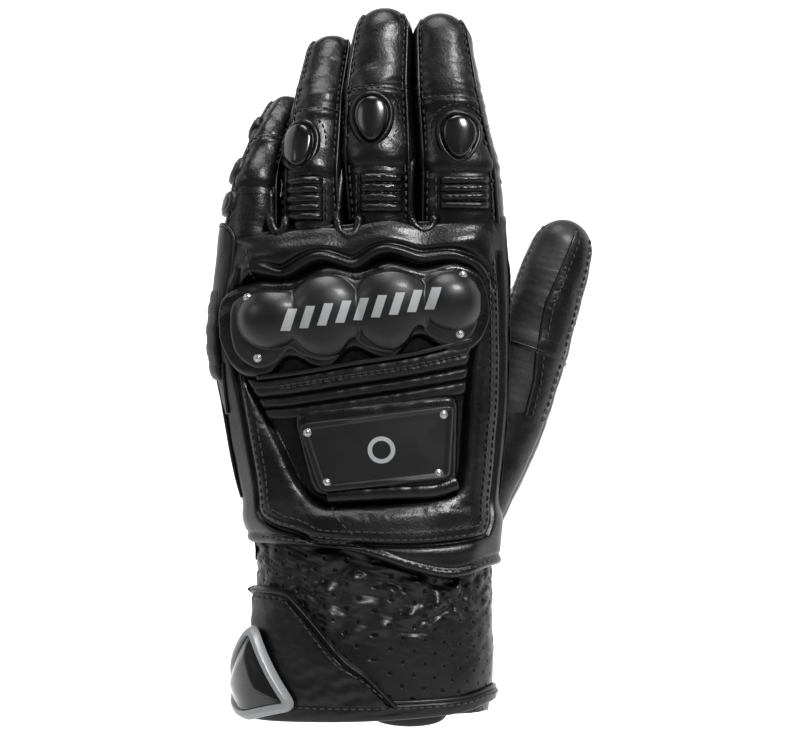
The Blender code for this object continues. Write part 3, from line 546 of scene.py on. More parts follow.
class Limb:
    """A finger or the thumb: a curved centre line with sections across it. s is the length along
    it from its first hinge, and it is negative inside the hand."""

    def __init__(self, origin, across, up, offsets, widths, depths, lengths, bends, root, dome):
        self.joints = np.cumsum([0, *lengths])
        self.end = self.joints[-1]
        self.dome = dome
        s = np.linspace(-root, self.end, 400)
        angle = np.zeros_like(s)
        for joint, bend in zip(self.joints, bends):
            angle += math.radians(bend) * smooth((s - joint) / (14 * MM) + 0.5)
        step = s[1] - s[0]
        self.s = s
        along = np.cos(angle)[:, None] * up + np.sin(angle)[:, None] * np.cross(up, across)
        self.palm = np.cos(angle)[:, None] * np.cross(up, across) - np.sin(angle)[:, None] * up
        line = np.cumsum(along, axis=0) * step
        start = np.array([np.interp(0, s, line[:, k]) for k in range(3)])
        knots = np.concatenate([[-root], self.joints])
        self.offset = np.interp(s, knots, [offsets[0], *offsets])
        self.across = across
        self.half = np.interp(s, *smooth_knots(knots, widths)) / 2
        self.deep = np.interp(s, *smooth_knots(knots, depths)) / 2
        offset = smooth_row(self.offset, 25)
        sideways = (offset - np.interp(0, s, offset))[:, None] * across
        self.axis = origin + line - start + sideways
        self.middle = self.axis + self.palm * (self.deep - HINGE_DEPTH)[:, None]
        self.back = self.middle - self.palm * self.deep[:, None]

    def read(self, s):
        """Centre, palm direction, half width and half depth at lengths along."""
        middle = columns_at(s, self.s, self.middle)
        palm = columns_at(s, self.s, self.palm)
        left = np.clip((s - (self.end - self.dome)) / self.dome, 0, 1)
        shrink = np.sqrt(np.clip(1 - left**2.3, 0, 1))
        return middle, palm, np.interp(s, self.s, self.half) * shrink, (
            np.interp(s, self.s, self.deep) * shrink
        )

    def at(self, degrees, s, lift):
        """Points at an angle round the limb (0 = thumb side, 90 = palm, 270 = back)."""
        middle, palm, half, deep = self.read(s)
        x, y = section(np.radians(degrees), LIMB_POWER)
        half = half + lift
        deep = deep + lift
        return middle + (half * x)[..., None] * self.across + (deep * y)[..., None] * palm

    def place(self, x, z, lift):
        """The limb's back as a function of X, Z and lift."""
        s = np.interp(z, self.back[:, 2], self.s)
        middle, palm, half, deep = self.read(s)
        share = np.clip((x - middle[..., 0]) / (half + 1e-6), -0.96, 0.96)
        reach = (1 - np.abs(share) ** LIMB_POWER) ** (1 / LIMB_POWER)
        slope = np.sign(share) * np.abs(share) ** (LIMB_POWER - 1) * reach ** (1 - LIMB_POWER)
        slope = slope * deep / (half + 1e-6)
        away = 1 / np.sqrt(1 + slope**2)
        point = middle + (half * share)[..., None] * self.across
        point = point - (deep * reach + lift * away)[..., None] * palm
        return point + (lift * slope * away)[..., None] * self.across


def smooth_row(values, span):
    """A running mean over an odd number of values, its ends held."""
    padded = np.concatenate([np.full(span // 2, values[0]), values, np.full(span // 2, values[-1])])
    return np.convolve(padded, np.ones(span) / span, mode="valid")


def smooth_knots(knots, sizes):
    """Fine knots of a Catmull-Rom curve through the given ones."""
    fine = spline(np.stack([np.asarray(knots, float), np.asarray(sizes, float)], axis=-1), 80)
    return fine[:, 0], fine[:, 1]


def make_limbs():
    """The four fingers and the thumb."""
    limbs = {}
    for name, f in FINGERS.items():
        x, widths, depths, lengths = (np.array(f[k]) * MM for k in ("x", "width", "depth", "length"))
        origin = np.array((f["x"][0], f["y"], f["z"])) * MM
        limbs[name] = Limb(
            origin, np.array((1.0, 0, 0)), np.array((0, 0, 1.0)), x, [widths[0] * 0.97, *widths],
            [depths[0], *depths], lengths, f["bend"], 20 * MM, widths[3] * 0.56,
        )
    up = np.array((0.31, 0.15, 0.94))
    up /= np.linalg.norm(up)
    across = np.array((0.9497, 0, -0.3132))
    across /= np.linalg.norm(across)
    limbs["thumb"] = Limb(
        np.array((48.2, 8.5, 99.0)) * MM, across, up, np.zeros(3),
        np.array((17, 27, 25, 20)) * MM, np.array((22, 26, 23.5, 19)) * MM,
        np.array((43, 31)) * MM, (0, 6), 42 * MM, 20 * 0.6 * MM,
    )
    return limbs


LIMBS = make_limbs()


def mm(points):
    """Points given in millimetres, as an array in metres."""
    return np.asarray(points, float) * MM


def ease(corners, radius, steps=6):
    """A closed outline with its corners rounded."""
    corners = np.asarray(corners, float)
    out = []
    for before, here, after in zip(np.roll(corners, 1, 0), corners, np.roll(corners, -1, 0)):
        a, b = before - here, after - here
        reach = min(radius, np.linalg.norm(a) * 0.45, np.linalg.norm(b) * 0.45)
        start = here + a / np.linalg.norm(a) * reach
        end = here + b / np.linalg.norm(b) * reach
        for t in np.linspace(0, 1, steps):
            out.append((1 - t) ** 2 * start + 2 * t * (1 - t) * here + t**2 * end)
    return np.array(out)


def even(outline, count):
    """A closed outline's points evenly spaced, without cutting its corners."""
    closed = np.concatenate([outline, outline[:1]])
    length = np.concatenate([[0], np.cumsum(np.linalg.norm(np.diff(closed, axis=0), axis=1))])
    at = np.linspace(0, length[-1], count + 1)[:-1]
    return columns_at(at, length, closed)


def area_of(outline):
    """Twice an outline's area, positive when its points run anticlockwise."""
    x, z = outline.T
    return np.sum(x * np.roll(z, -1) - z * np.roll(x, -1))


def grow(outline, margin):
    """A closed outline moved outward by a margin."""
    ahead = np.roll(outline, -1, 0) - np.roll(outline, 1, 0)
    out = np.stack([ahead[:, 1], -ahead[:, 0]], axis=-1)
    out /= np.linalg.norm(out, axis=1, keepdims=True) + 1e-12
    return outline + out * margin * (1 if area_of(outline) > 0 else -1)


def oval(x, z, width, height, count=72, power=2.0, egg=0.0):
    """An ellipse, or egg that is wider above, in X and Z."""
    turn = np.linspace(0, 2 * math.pi, count, endpoint=False)
    c, s = np.cos(turn), np.sin(turn)
    c = np.sign(c) * np.abs(c) ** (2 / power)
    s = np.sign(s) * np.abs(s) ** (2 / power)
    return np.stack([x + width / 2 * c * (1 + egg * s), z + height / 2 * s], axis=-1)


def domed_patch(name, outline, place, rise, finish, rings=16, count=128, skirt=0.8 * MM):
    """A raised piece on a surface: rings from its outline to its middle, lifted by rise(inside, x,
    z), and a skirt that goes into the surface all round."""
    outline = even(outline, count)
    middle = outline.mean(axis=0)
    share = 1 - (1 - np.linspace(0, 1, rings)) ** 0.6
    share = share[:-1]
    flat = outline[None] * (1 - share)[:, None, None] + middle * share[:, None, None]
    x, z = flat[..., 0], flat[..., 1]
    lift = rise(np.maximum(inside_by(x, z, outline), 0), x, z)
    grid = place(x, z, lift)
    foot = place(outline[:, 0], outline[:, 1], np.full(len(outline), -skirt))
    grid = np.concatenate([foot[None], grid])
    points = np.concatenate([grid.reshape(-1, 3), grid[-1].mean(0)[None]])
    flip = area_of(outline) < 0
    faces = quads(len(grid), count, True, flip=flip).tolist()
    faces += fan((len(grid) - 1) * count, count, len(points) - 1, flip)
    return put(name, points, faces, finish)


def field(name, xs, low, high, place, rise, finish, rows=40, skirt=0.8 * MM, flip=False):
    """A raised strip between two curves of Z over X, lifted by rise(x, z, share), where share goes
    from 0 at the lower curve to 1 at the upper one. Its border goes into the surface."""
    share = ((1 - np.cos(np.linspace(0, math.pi, rows))) / 2)[:, None]
    z = low(xs)[None] * (1 - share) + high(xs)[None] * share
    x = xs[None] + 0 * z
    lift = rise(x, z, share + 0 * x)
    x = np.concatenate([x[:1], x, x[-1:]])
    z = np.concatenate([z[:1], z, z[-1:]])
    lift = np.concatenate([np.full_like(lift[:1], -skirt), lift, np.full_like(lift[:1], -skirt)])
    x = np.concatenate([x[:, :1], x, x[:, -1:]], axis=1)
    z = np.concatenate([z[:, :1], z, z[:, -1:]], axis=1)
    low_edge = np.full_like(lift[:, :1], -skirt)
    lift = np.concatenate([low_edge, lift, low_edge], axis=1)
    return sheet_mesh(name, place(x, z, lift), finish, flip=flip)


def curve_xz(points):
    """A function of X through points of X and Z in millimetres."""
    line = spline(mm(points), 160)
    return lambda x: np.interp(x, line[:, 0], line[:, 1])


def lifted(place, a, b, lift):
    """Points of a surface lifted off it, and the directions outward there."""
    a, b = np.broadcast_arrays(a, b)
    path = place(a, b, lift + 0 * b)
    return path, (place(a, b, lift + MM + 0 * b) - path) / MM


def laid(points, place, lift, count=90, closed=False):
    """A line of X and Z laid on a surface, and the surface's directions outward there."""
    line = spline(mm(points), count, closed)
    low = place(line[:, 0], line[:, 1], np.zeros(len(line)))
    high = place(line[:, 0], line[:, 1], np.full(len(line), 1.0 * MM))
    normal = (high - low) / MM
    return low + normal * lift, normal


# ---------------------------------------------------------------- lines on the back of the hand

RECESS = spline(
    mm(
        (
            (-39.7, 147.6), (-28.4, 145.9), (-16.4, 151.7), (-4.5, 149.0), (5.8, 154.1),
            (17.8, 151.4), (28.8, 152.0), (36.6, 147.6), (38.6, 138), (37.2, 127.8),
            (35.2, 115.8), (33.6, 92), (32.6, 80.5), (28.6, 73.2), (10, 70.4), (-9.6, 69.0),
            (-17.4, 70.4), (-24.0, 76.8), (-31, 91), (-39.4, 107.2), (-48.0, 124.3),
            (-46.8, 139.0),
        )
    ),
    240, True,
)
BORDER = spline(
    mm(
        (
            (-43.5, 150), (-46.5, 128), (-42.6, 104), (-38.5, 82), (-36.3, 68.1), (-30, 62.8),
            (-22.6, 60.3), (-16.4, 57.2), (-2.7, 56.4), (18, 56.2), (36.0, 58.4), (40.4, 62),
            (43.0, 74.7), (44.6, 90), (46.0, 108), (46.2, 124), (45.6, 141), (44.5, 156),
        )
    ),
    220,
)
FLAP = curve_xz(
    ((-60, 57), (-30, 56), (-7.5, 54.5), (12.9, 47.9), (23.8, 45.0), (31, 45.2), (43.4, 48.8), (60, 50))
)
FINGER_LINE = curve_xz(
    (
        (-60, 162), (-49, 163), (-40.4, 162.5), (-29.5, 164), (-18, 165.5), (-6.5, 165.5),
        (5.8, 168.4), (17, 166.5), (33.2, 168.1), (43.5, 169.9), (60, 171),
    )
)
GUARD_TOP = curve_xz(
    (
        (-46.6, 133), (-44.6, 139.5), (-37, 143.0), (-28, 143.2), (-24.6, 144.0), (-21, 147.0),
        (-14.2, 148.7), (-7, 148.0), (-3.4, 146.6), (0, 148.6), (7.4, 150.3), (14.6, 149.2),
        (18.2, 147.4), (22, 149.4), (29, 150.2), (35, 147.4), (38.3, 140.5),
    )
)
GUARD_LOW = curve_xz(
    (
        (-46.6, 131), (-44.6, 122.0), (-40, 117.2), (-35.4, 116.0), (-30, 118.4), (-26.3, 122.6),
        (-22.4, 120.4), (-14.2, 118.6), (-8.8, 121.2), (-4.9, 125.8), (-1, 123.2), (7.4, 121.4),
        (13, 124.6), (17.0, 130.2), (21, 126.6), (29, 124.1), (35, 127.6), (38.3, 136.5),
    )
)
DOMES = (
    (-32.2, 133.6, 11.0, 10.8), (-14.4, 134.4, 12.8, 14.2), (8.0, 137.0, 13.0, 14.6),
    (28.2, 139.2, 10.6, 10.2),
)
PLATE = ease(mm(((-23.6, 97.6), (29.1, 104.6), (27.4, 78.4), (-15.8, 73.8))), 3.2 * MM)
PLATE_RIVETS = ((-20.0, 94.4), (25.2, 100.6), (23.4, 80.6), (-13.6, 77.4))
GUARD_RIVETS = ((-39.6, 140.4), (-36.6, 119.8), (30.6, 128.0), (31.4, 148.0))


def back_relief(x, z):
    """How far the back's leather stands off its plain form: the recess for the armour and its
    puffed lips, the border groove, the ridges over the knuckles and small irregular creases."""
    middle, half, _, _ = body_sizes(z)
    edge = 1 - smooth((np.abs(x - middle) / half - 0.74) / 0.22)
    inner = inside_by(x, z, RECESS)
    border = from_line(x, z, BORDER)
    outward = np.maximum(-inner, 0)
    below = FINGER_LINE(x) - z
    fade = smooth(below / (9 * MM))
    lift = 2.3 * MM * pillow(outward, 4.6 * MM) * edge * fade
    upper = smooth((z - 141 * MM) / (6 * MM)) * fade
    lift += 0.8 * MM * bell(outward - 2.4 * MM, 1.8 * MM) * upper
    lift -= 1.3 * MM * bell(outward - 5.0 * MM, 0.9 * MM) * upper * smooth((x + 40 * MM) / (9 * MM))
    humps = ((-29, 6.5), (-17.5, 7.5), (5.4, 8.5), (31, 8.5))
    for place_x, reach in humps:
        lift += 1.3 * MM * bell(x - place_x * MM, reach * MM) * bell(below - 7 * MM, 6 * MM) * fade
    lift -= 1.9 * MM * smooth(inner / (1.6 * MM))
    lift -= 1.5 * MM * bell(border, 0.75 * MM) * smooth(border / (0.2 * MM) + 1)
    lift += 0.6 * MM * bell(border - 3.0 * MM, 2.2 * MM) * edge
    lower = smooth((74 * MM - z) / (8 * MM)) * (inner < 0)
    lift += 1.3 * MM * lower * bell(z - 64.5 * MM, 5.5 * MM)
    slow = ripples(x / (26 * MM), z / (26 * MM), 4, 10)
    lift += 0.28 * MM * slow * smooth(-inner / (3 * MM))
    crease = ripples(x / (9 * MM) + 0.8 * slow, z / (4.5 * MM), 11, 8)
    near = bell(outward - 2.4 * MM, 3.0 * MM) * (0.3 + 0.5 * lower)
    lift += 0.26 * MM * crease * near
    return lift


# ---------------------------------------------------------------- the leather of the hand


def make_materials(settings):
    """Every finish of the glove."""
    back = tuple(settings.leather_colour)
    return {
        "leather": leather("back_leather_grain", back, 0.29, creases=settings.creases),
        "smooth": leather("smooth_leather", (0.0050, 0.0050, 0.0053), 0.34, 0.6 * MM, 0.045 * MM),
        # This leather's lighter colour is a painted highlight. Only the thumb's facet uses it.
        "soft": leather("thumb_facet_painted_highlight", (0.016, 0.0162, 0.017), 0.44, 0.5 * MM, 0.04 * MM, 0.6),
        "glossy": leather("glossy_leather", (0.004, 0.004, 0.0043), 0.25, 0.7 * MM, 0.05 * MM, 1.2),
        "gathered": leather(
            "perforated_leather", (0.0048, 0.0048, 0.0051), 0.33, 0.6 * MM, 0.04 * MM, 1.0, True
        ),
        "palm": leather("palm_leather_grain", (0.009, 0.0089, 0.0087), 0.56, 0.55 * MM, 0.06 * MM),
        "piping": leather("piping_leather", (0.008, 0.008, 0.0084), 0.28, 0.5 * MM, 0.03 * MM),
        "guard": moulded("guard_satin", (0.0085, 0.0086, 0.009), 0.36, 0.08),
        "insert": moulded("insert_gloss", (0.006, 0.006, 0.0063), 0.2, 0.3, 0.002 * MM),
        "rubber": moulded("moulded_rubber", (0.009, 0.009, 0.009), 0.5),
        "tab": moulded("tab_grey", tuple(settings.tab_colour), 0.38, 0.1),
        "mark": moulded("guard_mark_grey", tuple(settings.mark_colour), 0.42),
        "steel": metal("rivet_steel_bright", (0.45, 0.45, 0.46), 0.3),
        "thread": woven("thread_black", (0.016, 0.016, 0.017), 0.55, 0.35 * MM),
        "strap": woven("strap_woven", (0.014, 0.014, 0.0145), 0.75),
        "plush": woven("hook_and_loop", (0.018, 0.018, 0.018), 0.95, 0.6 * MM),
        "lining": woven("lining_knit", (0.010, 0.010, 0.011), 0.9, 1.2 * MM),
    }


FINISH = {}


def cover(obj, slot_name, *nodes):
    """Hides the CAD nodes that a piece stands for. slot_name is not used."""
    if nodes:
        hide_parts(*nodes)
    return obj


def add_surface_map(obj, uv):
    """Gives each point's own pair of lengths to the mesh as the UV map 'surface'."""
    layer = obj.data.uv_layers.new(name="surface")
    corner = np.empty(len(obj.data.loops), np.int32)
    obj.data.loops.foreach_get("vertex_index", corner)
    layer.data.foreach_set("uv", np.asarray(uv, float).reshape(-1, 2)[corner].ravel())


def make_cuff_leather():
    """The gathered, perforated leather of the cuff, one sheet that bends at the wrist: the body's
    sections with folds along it that fade out towards the hem and the hand."""
    degrees = np.linspace(0, 360, 420, endpoint=False)
    z = np.linspace(-1.0, 64, 200) * MM
    a, zz = np.meshgrid(degrees, z)
    arc = np.radians(a) * 36 * MM
    x = body_at(a, zz, np.zeros_like(a))[..., 0]
    start = 20 * MM + 8 * MM * smooth((x - 5 * MM) / (40 * MM))
    gather = smooth((zz - start) / (13 * MM))
    bend = ripples(arc / (20 * MM), zz / (24 * MM), 5, 7)
    fold = ripples(arc / (15 * MM) + 0.35 * bend, zz / (5.6 * MM) + 0.6 * bend, 21, 9, 0.6, 1.4)
    small = ripples(arc / (5 * MM), zz / (3.0 * MM), 22, 9)
    u = arc / (7.2 * MM) + 0.22 * bend + 0.03 * small
    v = zz / (8.6 * MM) + 0.10 * u + 0.18 * bend
    bumps = np.cos(2 * math.pi * u)
    for turn in (-1, 1):
        bumps = bumps + np.cos(2 * math.pi * (0.5 * u + turn * 0.87 * v))
    bumps = 0.5 + bumps / 4.5
    inner = smooth((x + 26 * MM) / (12 * MM)) * (1 - smooth((x - 30 * MM) / (10 * MM)))
    lift = gather * (0.45 * MM * fold + 2.2 * MM * (bumps - 0.5) * inner + 0.10 * MM * small)
    lift += 0.2 * MM * ripples(arc / (17 * MM), zz / (15 * MM), 8) - 0.7 * MM
    lift += 0.10 * MM * small * smooth((zz - 8 * MM) / (10 * MM))
    palmar = smooth((a - 4) / 12) * smooth((176 - a) / 12)
    hidden = smooth((zz - 47 * MM) / (5 * MM)) * palmar
    lift = lift * (1 - hidden) - 0.9 * MM * hidden
    lift -= 2.4 * MM * smooth((zz - 57 * MM) / (6 * MM))
    made = sheet_mesh("cuff_leather", body_at(a, zz, lift), FINISH["gathered"], wrap=True)
    turned = np.where(a > 90, a, a + 360)
    add_surface_map(made, np.stack([np.radians(turned) * 38 * MM, zz], axis=-1))
    cover(made, "back_leather", "cuff_shell")
    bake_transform(made)


def make_hand_back():
    """The back of the hand: one sheet from the flap over the wrist to the fingers' seams."""
    degrees = np.linspace(174, 366, 300)
    share = np.linspace(0, 1, 290)
    a, t = np.meshgrid(degrees, share)
    x = body_at(a, np.full_like(a, 110 * MM), np.zeros_like(a))[..., 0]
    z = FLAP(x) * (1 - t) + FINGER_LINE(x) * t
    for _ in range(2):
        x = body_at(a, z, np.zeros_like(a))[..., 0]
        z = FLAP(x) * (1 - t) + FINGER_LINE(x) * t
    lift = back_relief(x, z)
    above = z - FLAP(x)
    ends = smooth((a - 175) / 12) * smooth((365 - a) / 12)
    lift += flap_lift(x, z) * ends - 1.2 * MM * smooth(1 - above / (0.5 * MM))
    below = FINGER_LINE(x) - z
    lift -= 2.2 * MM * smooth(1 - below / (1.6 * MM))
    lift += 0.35 * MM * bell(below - 3.0 * MM, 1.6 * MM)
    made = sheet_mesh("hand_back_leather", body_at(a, z, lift), FINISH["leather"])
    cover(made, "back_leather", "back_panel")
    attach(made, "hand")


def make_hand_palm():
    """The palm: one sheet with the cut panels' seam grooves and soft folds across it."""
    degrees = np.linspace(-7, 187, 220)
    z = np.linspace(50, 167, 220) * MM
    a, zz = np.meshgrid(degrees, z)
    x = body_at(a, zz, np.zeros_like(a))[..., 0]
    lift = 0.4 * MM * ripples(x / (24 * MM), zz / (20 * MM), 31)
    lift += 0.25 * MM * ripples(x / (12 * MM), zz / (4 * MM), 32) * bell(zz - 136 * MM, 14 * MM)
    for line in PALM_SEAMS:
        away = from_line(x, zz, spline(mm(line), 60))
        lift += 0.7 * MM * bell(away - 1.8 * MM, 1.6 * MM) - 1.3 * MM * bell(away, 0.6 * MM)
    lift += 1.2 * MM * pillow(zz - 50 * MM, 1.5 * MM) - 1.0 * MM
    lift -= 0.6 * MM * smooth((zz - 150 * MM) / (10 * MM))
    lift -= 2.0 * MM * smooth((zz - 164.5 * MM) / (2 * MM))
    made = sheet_mesh("hand_palm_leather", body_at(a, zz, lift), FINISH["palm"])
    cover(made, "palm_leather", "palm_panel")
    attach(made, "hand")
    rows = [laid(line, on_palm, 0.9 * MM, 120) for line in PALM_SEAM_ROWS]
    stitches = stitch_mesh("palm_stitches", rows, FINISH["thread"])
    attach(stitches, "hand")


PALM_SEAMS = (
    ((-42, 156), (-38, 140), (-37, 118), (-37, 90), (-33, 56)),
    ((19, 132), (27, 118), (30, 96), (22, 74), (14, 54)),
    ((-40, 146), (-20, 143), (4, 146), (28, 150), (42, 150)),
)
PALM_SEAM_ROWS = (
    ((21, 132), (29, 118), (32, 96), (24, 74), (16, 54)),
    ((17, 132), (25, 118), (28, 96), (20, 74), (12, 54)),
    ((-40, 148), (-20, 145), (4, 148), (28, 152), (40, 152)),
)


def make_hand_lines():
    """Pipings, seams and stitch rows of the back of the hand, each laid on its surface."""
    height = np.linspace(0, 1, 60)
    edges = (
        ("ulnar_piping", 191.0, 100.4, 187.5, 72.0, 0.7), ("ulnar_long_piping", 204, 118, 197, 101, 0.6),
    )
    for name, angle_a, z_a, angle_b, z_b, radius in edges:
        degrees = angle_a + (angle_b - angle_a) * height
        z = (z_a + (z_b - z_a) * height) * MM
        path, normal = lifted(body_at, degrees, z, 0.3 * MM)
        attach(cord_mesh(name, path, normal, radius * MM, FINISH["piping"]), "hand")
    make_ulnar_panel()
    make_crotches()
    rows = []
    for margin in (2.0, 4.4):
        away = unit(np.gradient(BORDER, axis=0))
        inward = BORDER + np.stack([-away[:, 1], away[:, 0]], axis=-1) * margin * MM
        keep = inward[:, 1] < (150 if margin > 3 else 154) * MM
        start = 40 if margin > 3 else 20
        rows.append(laid(inward[keep][start:] / MM, relieved, 0.15 * MM, 220))
    rows.append(laid(((-42, 160), (-38.7, 146.6)), relieved, 0.15 * MM, 30))
    rows.append(laid(((-12.3, 71), (-10.6, 66.1), (-4.5, 59.6)), relieved, 0.2 * MM, 30))
    flap_row = ((-35, 59), (-20, 57.6), (-6, 56.6), (13, 50.6), (24, 48), (32, 48.2), (40, 51))
    rows.append(laid(flap_row, relieved, 0.2 * MM, 90))
    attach(stitch_mesh("hand_stitches", rows, FINISH["thread"]), "hand")


def make_ulnar_panel():
    """The long puffed panel along the little finger's side of the knuckles, with a piped edge."""
    radius = 30 * MM
    corners = np.array(
        (
            (172, 126.5), (190, 126.0), (203, 131.5), (211, 149), (209, 163), (190, 166.5),
            (172, 164),
        )
    )
    flat = np.stack([np.radians(corners[:, 0]) * radius, corners[:, 1] * MM], axis=-1)
    outline = ease(flat, 9 * MM, 8)

    def place(u, z, lift):
        return body_at(np.degrees(u / radius), z, lift)

    def puff(inside, u, z):
        wave = ripples(u / (14 * MM), z / (14 * MM), 33, 7)
        return -0.5 * MM + 1.5 * MM * pillow(inside, 2.4 * MM) + 0.12 * MM * wave

    panel = domed_patch("ulnar_panel", outline, place, puff, FINISH["smooth"], 26, 150)
    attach(cover(panel, "back_leather"), "hand")
    line = even(outline, 150)
    path, normal = lifted(place, line[:, 0], line[:, 1], 0.55 * MM)
    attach(cord_mesh("ulnar_panel_piping", path, normal, 0.6 * MM, FINISH["piping"], closed=True), "hand")


def make_crotches():
    """The piped U between two fingers, in two halves, each laid against its own finger."""
    bends = {
        ("ring", "middle"): (
            ((-8.8, 190), (-9.4, 182), (-10.2, 174), (-10.4, 167), (-9.4, 163), (-7.0, 161.0)),
            ((-7.0, 161.0), (-4.6, 162.2), (-3.3, 165.2), (-3.2, 169.0), (-3.6, 173.0)),
        ),
        ("middle", "index"): (
            ((15.2, 192), (14.6, 184), (14.2, 176), (14.6, 169), (16.0, 165.2), (18.6, 163.2)),
            ((18.6, 163.2), (21.2, 164.0), (22.6, 167.0), (22.8, 170.4), (22.2, 174.0)),
        ),
        ("little", "ring"): (
            ((-33.4, 181), (-33.6, 173), (-33.0, 166), (-31.2, 162.4)),
            ((-31.2, 162.4), (-29.0, 163.6), (-28.2, 167), (-28.4, 171)),
        ),
    }
    for names, halves in bends.items():
        for name, half in zip(names, halves):
            line = spline(mm(half), 90)
            x, z = line.T
            zero = np.zeros_like(x)
            finger = LIMBS[name].place(x, z, zero - 0.8 * MM)
            hand = relieved(x, z, zero - 0.5 * MM)
            low = z < 168 * MM
            y = np.where(low, np.minimum(finger[:, 1], hand[:, 1]), finger[:, 1])
            y = smooth_row(y, 9) + 3.6 * MM * smooth((z - z.max() + 6 * MM) / (6 * MM))
            path = np.stack([x, y, z], axis=-1)
            normal = np.tile((0.0, -1.0, 0.0), (len(path), 1))
            label = f"{names[0]}_{names[1]}_fork_{name}"
            bead = cord_mesh(label, path, normal, 1.55 * MM, FINISH["leather"], flat=0.8)
            carry(bead, name, (-8 * MM, 8 * MM))


def flap_lift(x, z):
    """How far the flap over the wrist stands off the cuff: a rolled edge that fades upward."""
    above = z - FLAP(x)
    high = (1.9 - 0.7 * smooth((-24 * MM - x) / (10 * MM))) * MM
    lift = high * pillow(above, 1.6 * MM) * (1 - smooth((above - 5 * MM) / (16 * MM)))
    return lift + 0.5 * MM * bell(above - 1.8 * MM, 1.2 * MM) - 0.4 * MM * bell(above - 3.8 * MM, 0.7 * MM)


def relieved(x, z, lift):
    """The back of the hand with its leather's relief."""
    return on_back(x, z, back_relief(x, z) + flap_lift(x, z) + lift)


# ---------------------------------------------------------------- armour on the back


def guard_lift(x, z):
    """The guard's face: a thin rounded rim and four broad domes that run into each other."""
    inside = inside_by(x, z, GUARD_OUTLINE)
    total = np.zeros_like(x)
    for centre_x, centre_z, half_x, half_z in DOMES:
        r = ((x / MM - centre_x) / half_x) ** 2 + ((z / MM - centre_z) / half_z) ** 2
        total += (5.2 * MM * np.clip(1 - r, 0, 1) ** 0.72) ** 4
    lift = 2.0 * MM + 1.5 * MM * pillow(inside, 1.5 * MM) + 0.7 * MM * smooth(inside / (6 * MM))
    return lift + total**0.25 * smooth(inside / (1.6 * MM) + 0.25)


def rim(low, high, xs):
    """A closed outline between two curves of Z over X."""
    return np.concatenate(
        [np.stack([xs, low(xs)], -1), np.stack([xs[::-1], high(xs[::-1])], -1)]
    )


GUARD_XS = np.linspace(-46.2, 38.1, 230) * MM
GUARD_OUTLINE = rim(GUARD_LOW, GUARD_TOP, GUARD_XS[::2])


def make_guard():
    """The knuckle guard: a thin satin shell with four domes over a puffed leather frame."""
    pad_low = curve_xz(
        (
            (-50.0, 128), (-47.6, 120.0), (-43, 113.6), (-34, 112.4), (-26.3, 119.4),
            (-14.2, 114.8), (-4.9, 122.4), (7.4, 117.8), (17.0, 126.6), (29, 120.2), (37, 123.6),
            (41.0, 132),
        )
    )
    pad_high = curve_xz(
        (
            (-50.0, 134), (-47.6, 142.4), (-38, 146.2), (-25, 147.0), (-14.2, 151.6), (-3.4, 150.2),
            (7.4, 153.4), (18.2, 151.0), (29, 153.2), (37.4, 149.6), (41.0, 138),
        )
    )
    xs = np.linspace(-49.2, 40.4, 190) * MM

    def puff(x, z, share):
        inside = np.minimum(z - pad_low(x), pad_high(x) - z)
        crease = ripples(x / (7 * MM), z / (7 * MM), 41, 8)
        return -1.6 * MM + 4.6 * MM * pillow(inside, 3.2 * MM) + 0.22 * MM * crease

    pad = field("guard_frame", xs, pad_low, pad_high, on_back, puff, FINISH["glossy"], 70)
    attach(cover(pad, "palm_leather", "knuckle_pad"), "hand")

    shell = field(
        "guard_shell_domed", GUARD_XS, GUARD_LOW, GUARD_TOP, on_back,
        lambda x, z, share: guard_lift(x, z), FINISH["guard"], 150, skirt=-1.0 * MM,
    )
    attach(cover(shell, "guard_shell", "knuckle_guard"), "hand")


def make_guard_marks():
    """A row of plain slanted bars printed across the domes, and a plain ring on the plate: filler
    patterns with no lettering."""
    across = np.linspace(0, 1, 8)
    up = np.linspace(0, 1, 22)[:, None]
    pieces = []
    for k in range(9):
        x0 = -28.5 + 5.9 * k
        z0 = 129.0 + 0.155 * (x0 + 28.5)
        z = (z0 + 7.6 * up) * MM + 0 * across[None]
        x = (x0 + 3.0 * across[None] + 2.4 * up) * MM
        pieces.append(on_back(x, z, guard_lift(x, z) + 0.08 * MM))
    grid = np.concatenate([piece.reshape(-1, 3) for piece in pieces])
    faces = np.concatenate([quads(22, 8, first=176 * k) for k in range(len(pieces))])
    made = put("guard_bars", grid, faces.tolist(), FINISH["mark"])
    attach(cover(made, "guard_shell"), "hand")
    turn = np.linspace(0, 2 * math.pi, 64, endpoint=False)
    reach = np.linspace(3.1, 4.6, 4)[:, None] * MM
    x = 4.6 * MM + reach * np.cos(turn)
    z = 88.6 * MM + reach * np.sin(turn)
    ring = sheet_mesh("plate_ring", on_back(x, z, plate_lift(x, z) + 0.08 * MM), FINISH["mark"], wrap=True)
    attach(cover(ring, "guard_shell"), "hand")


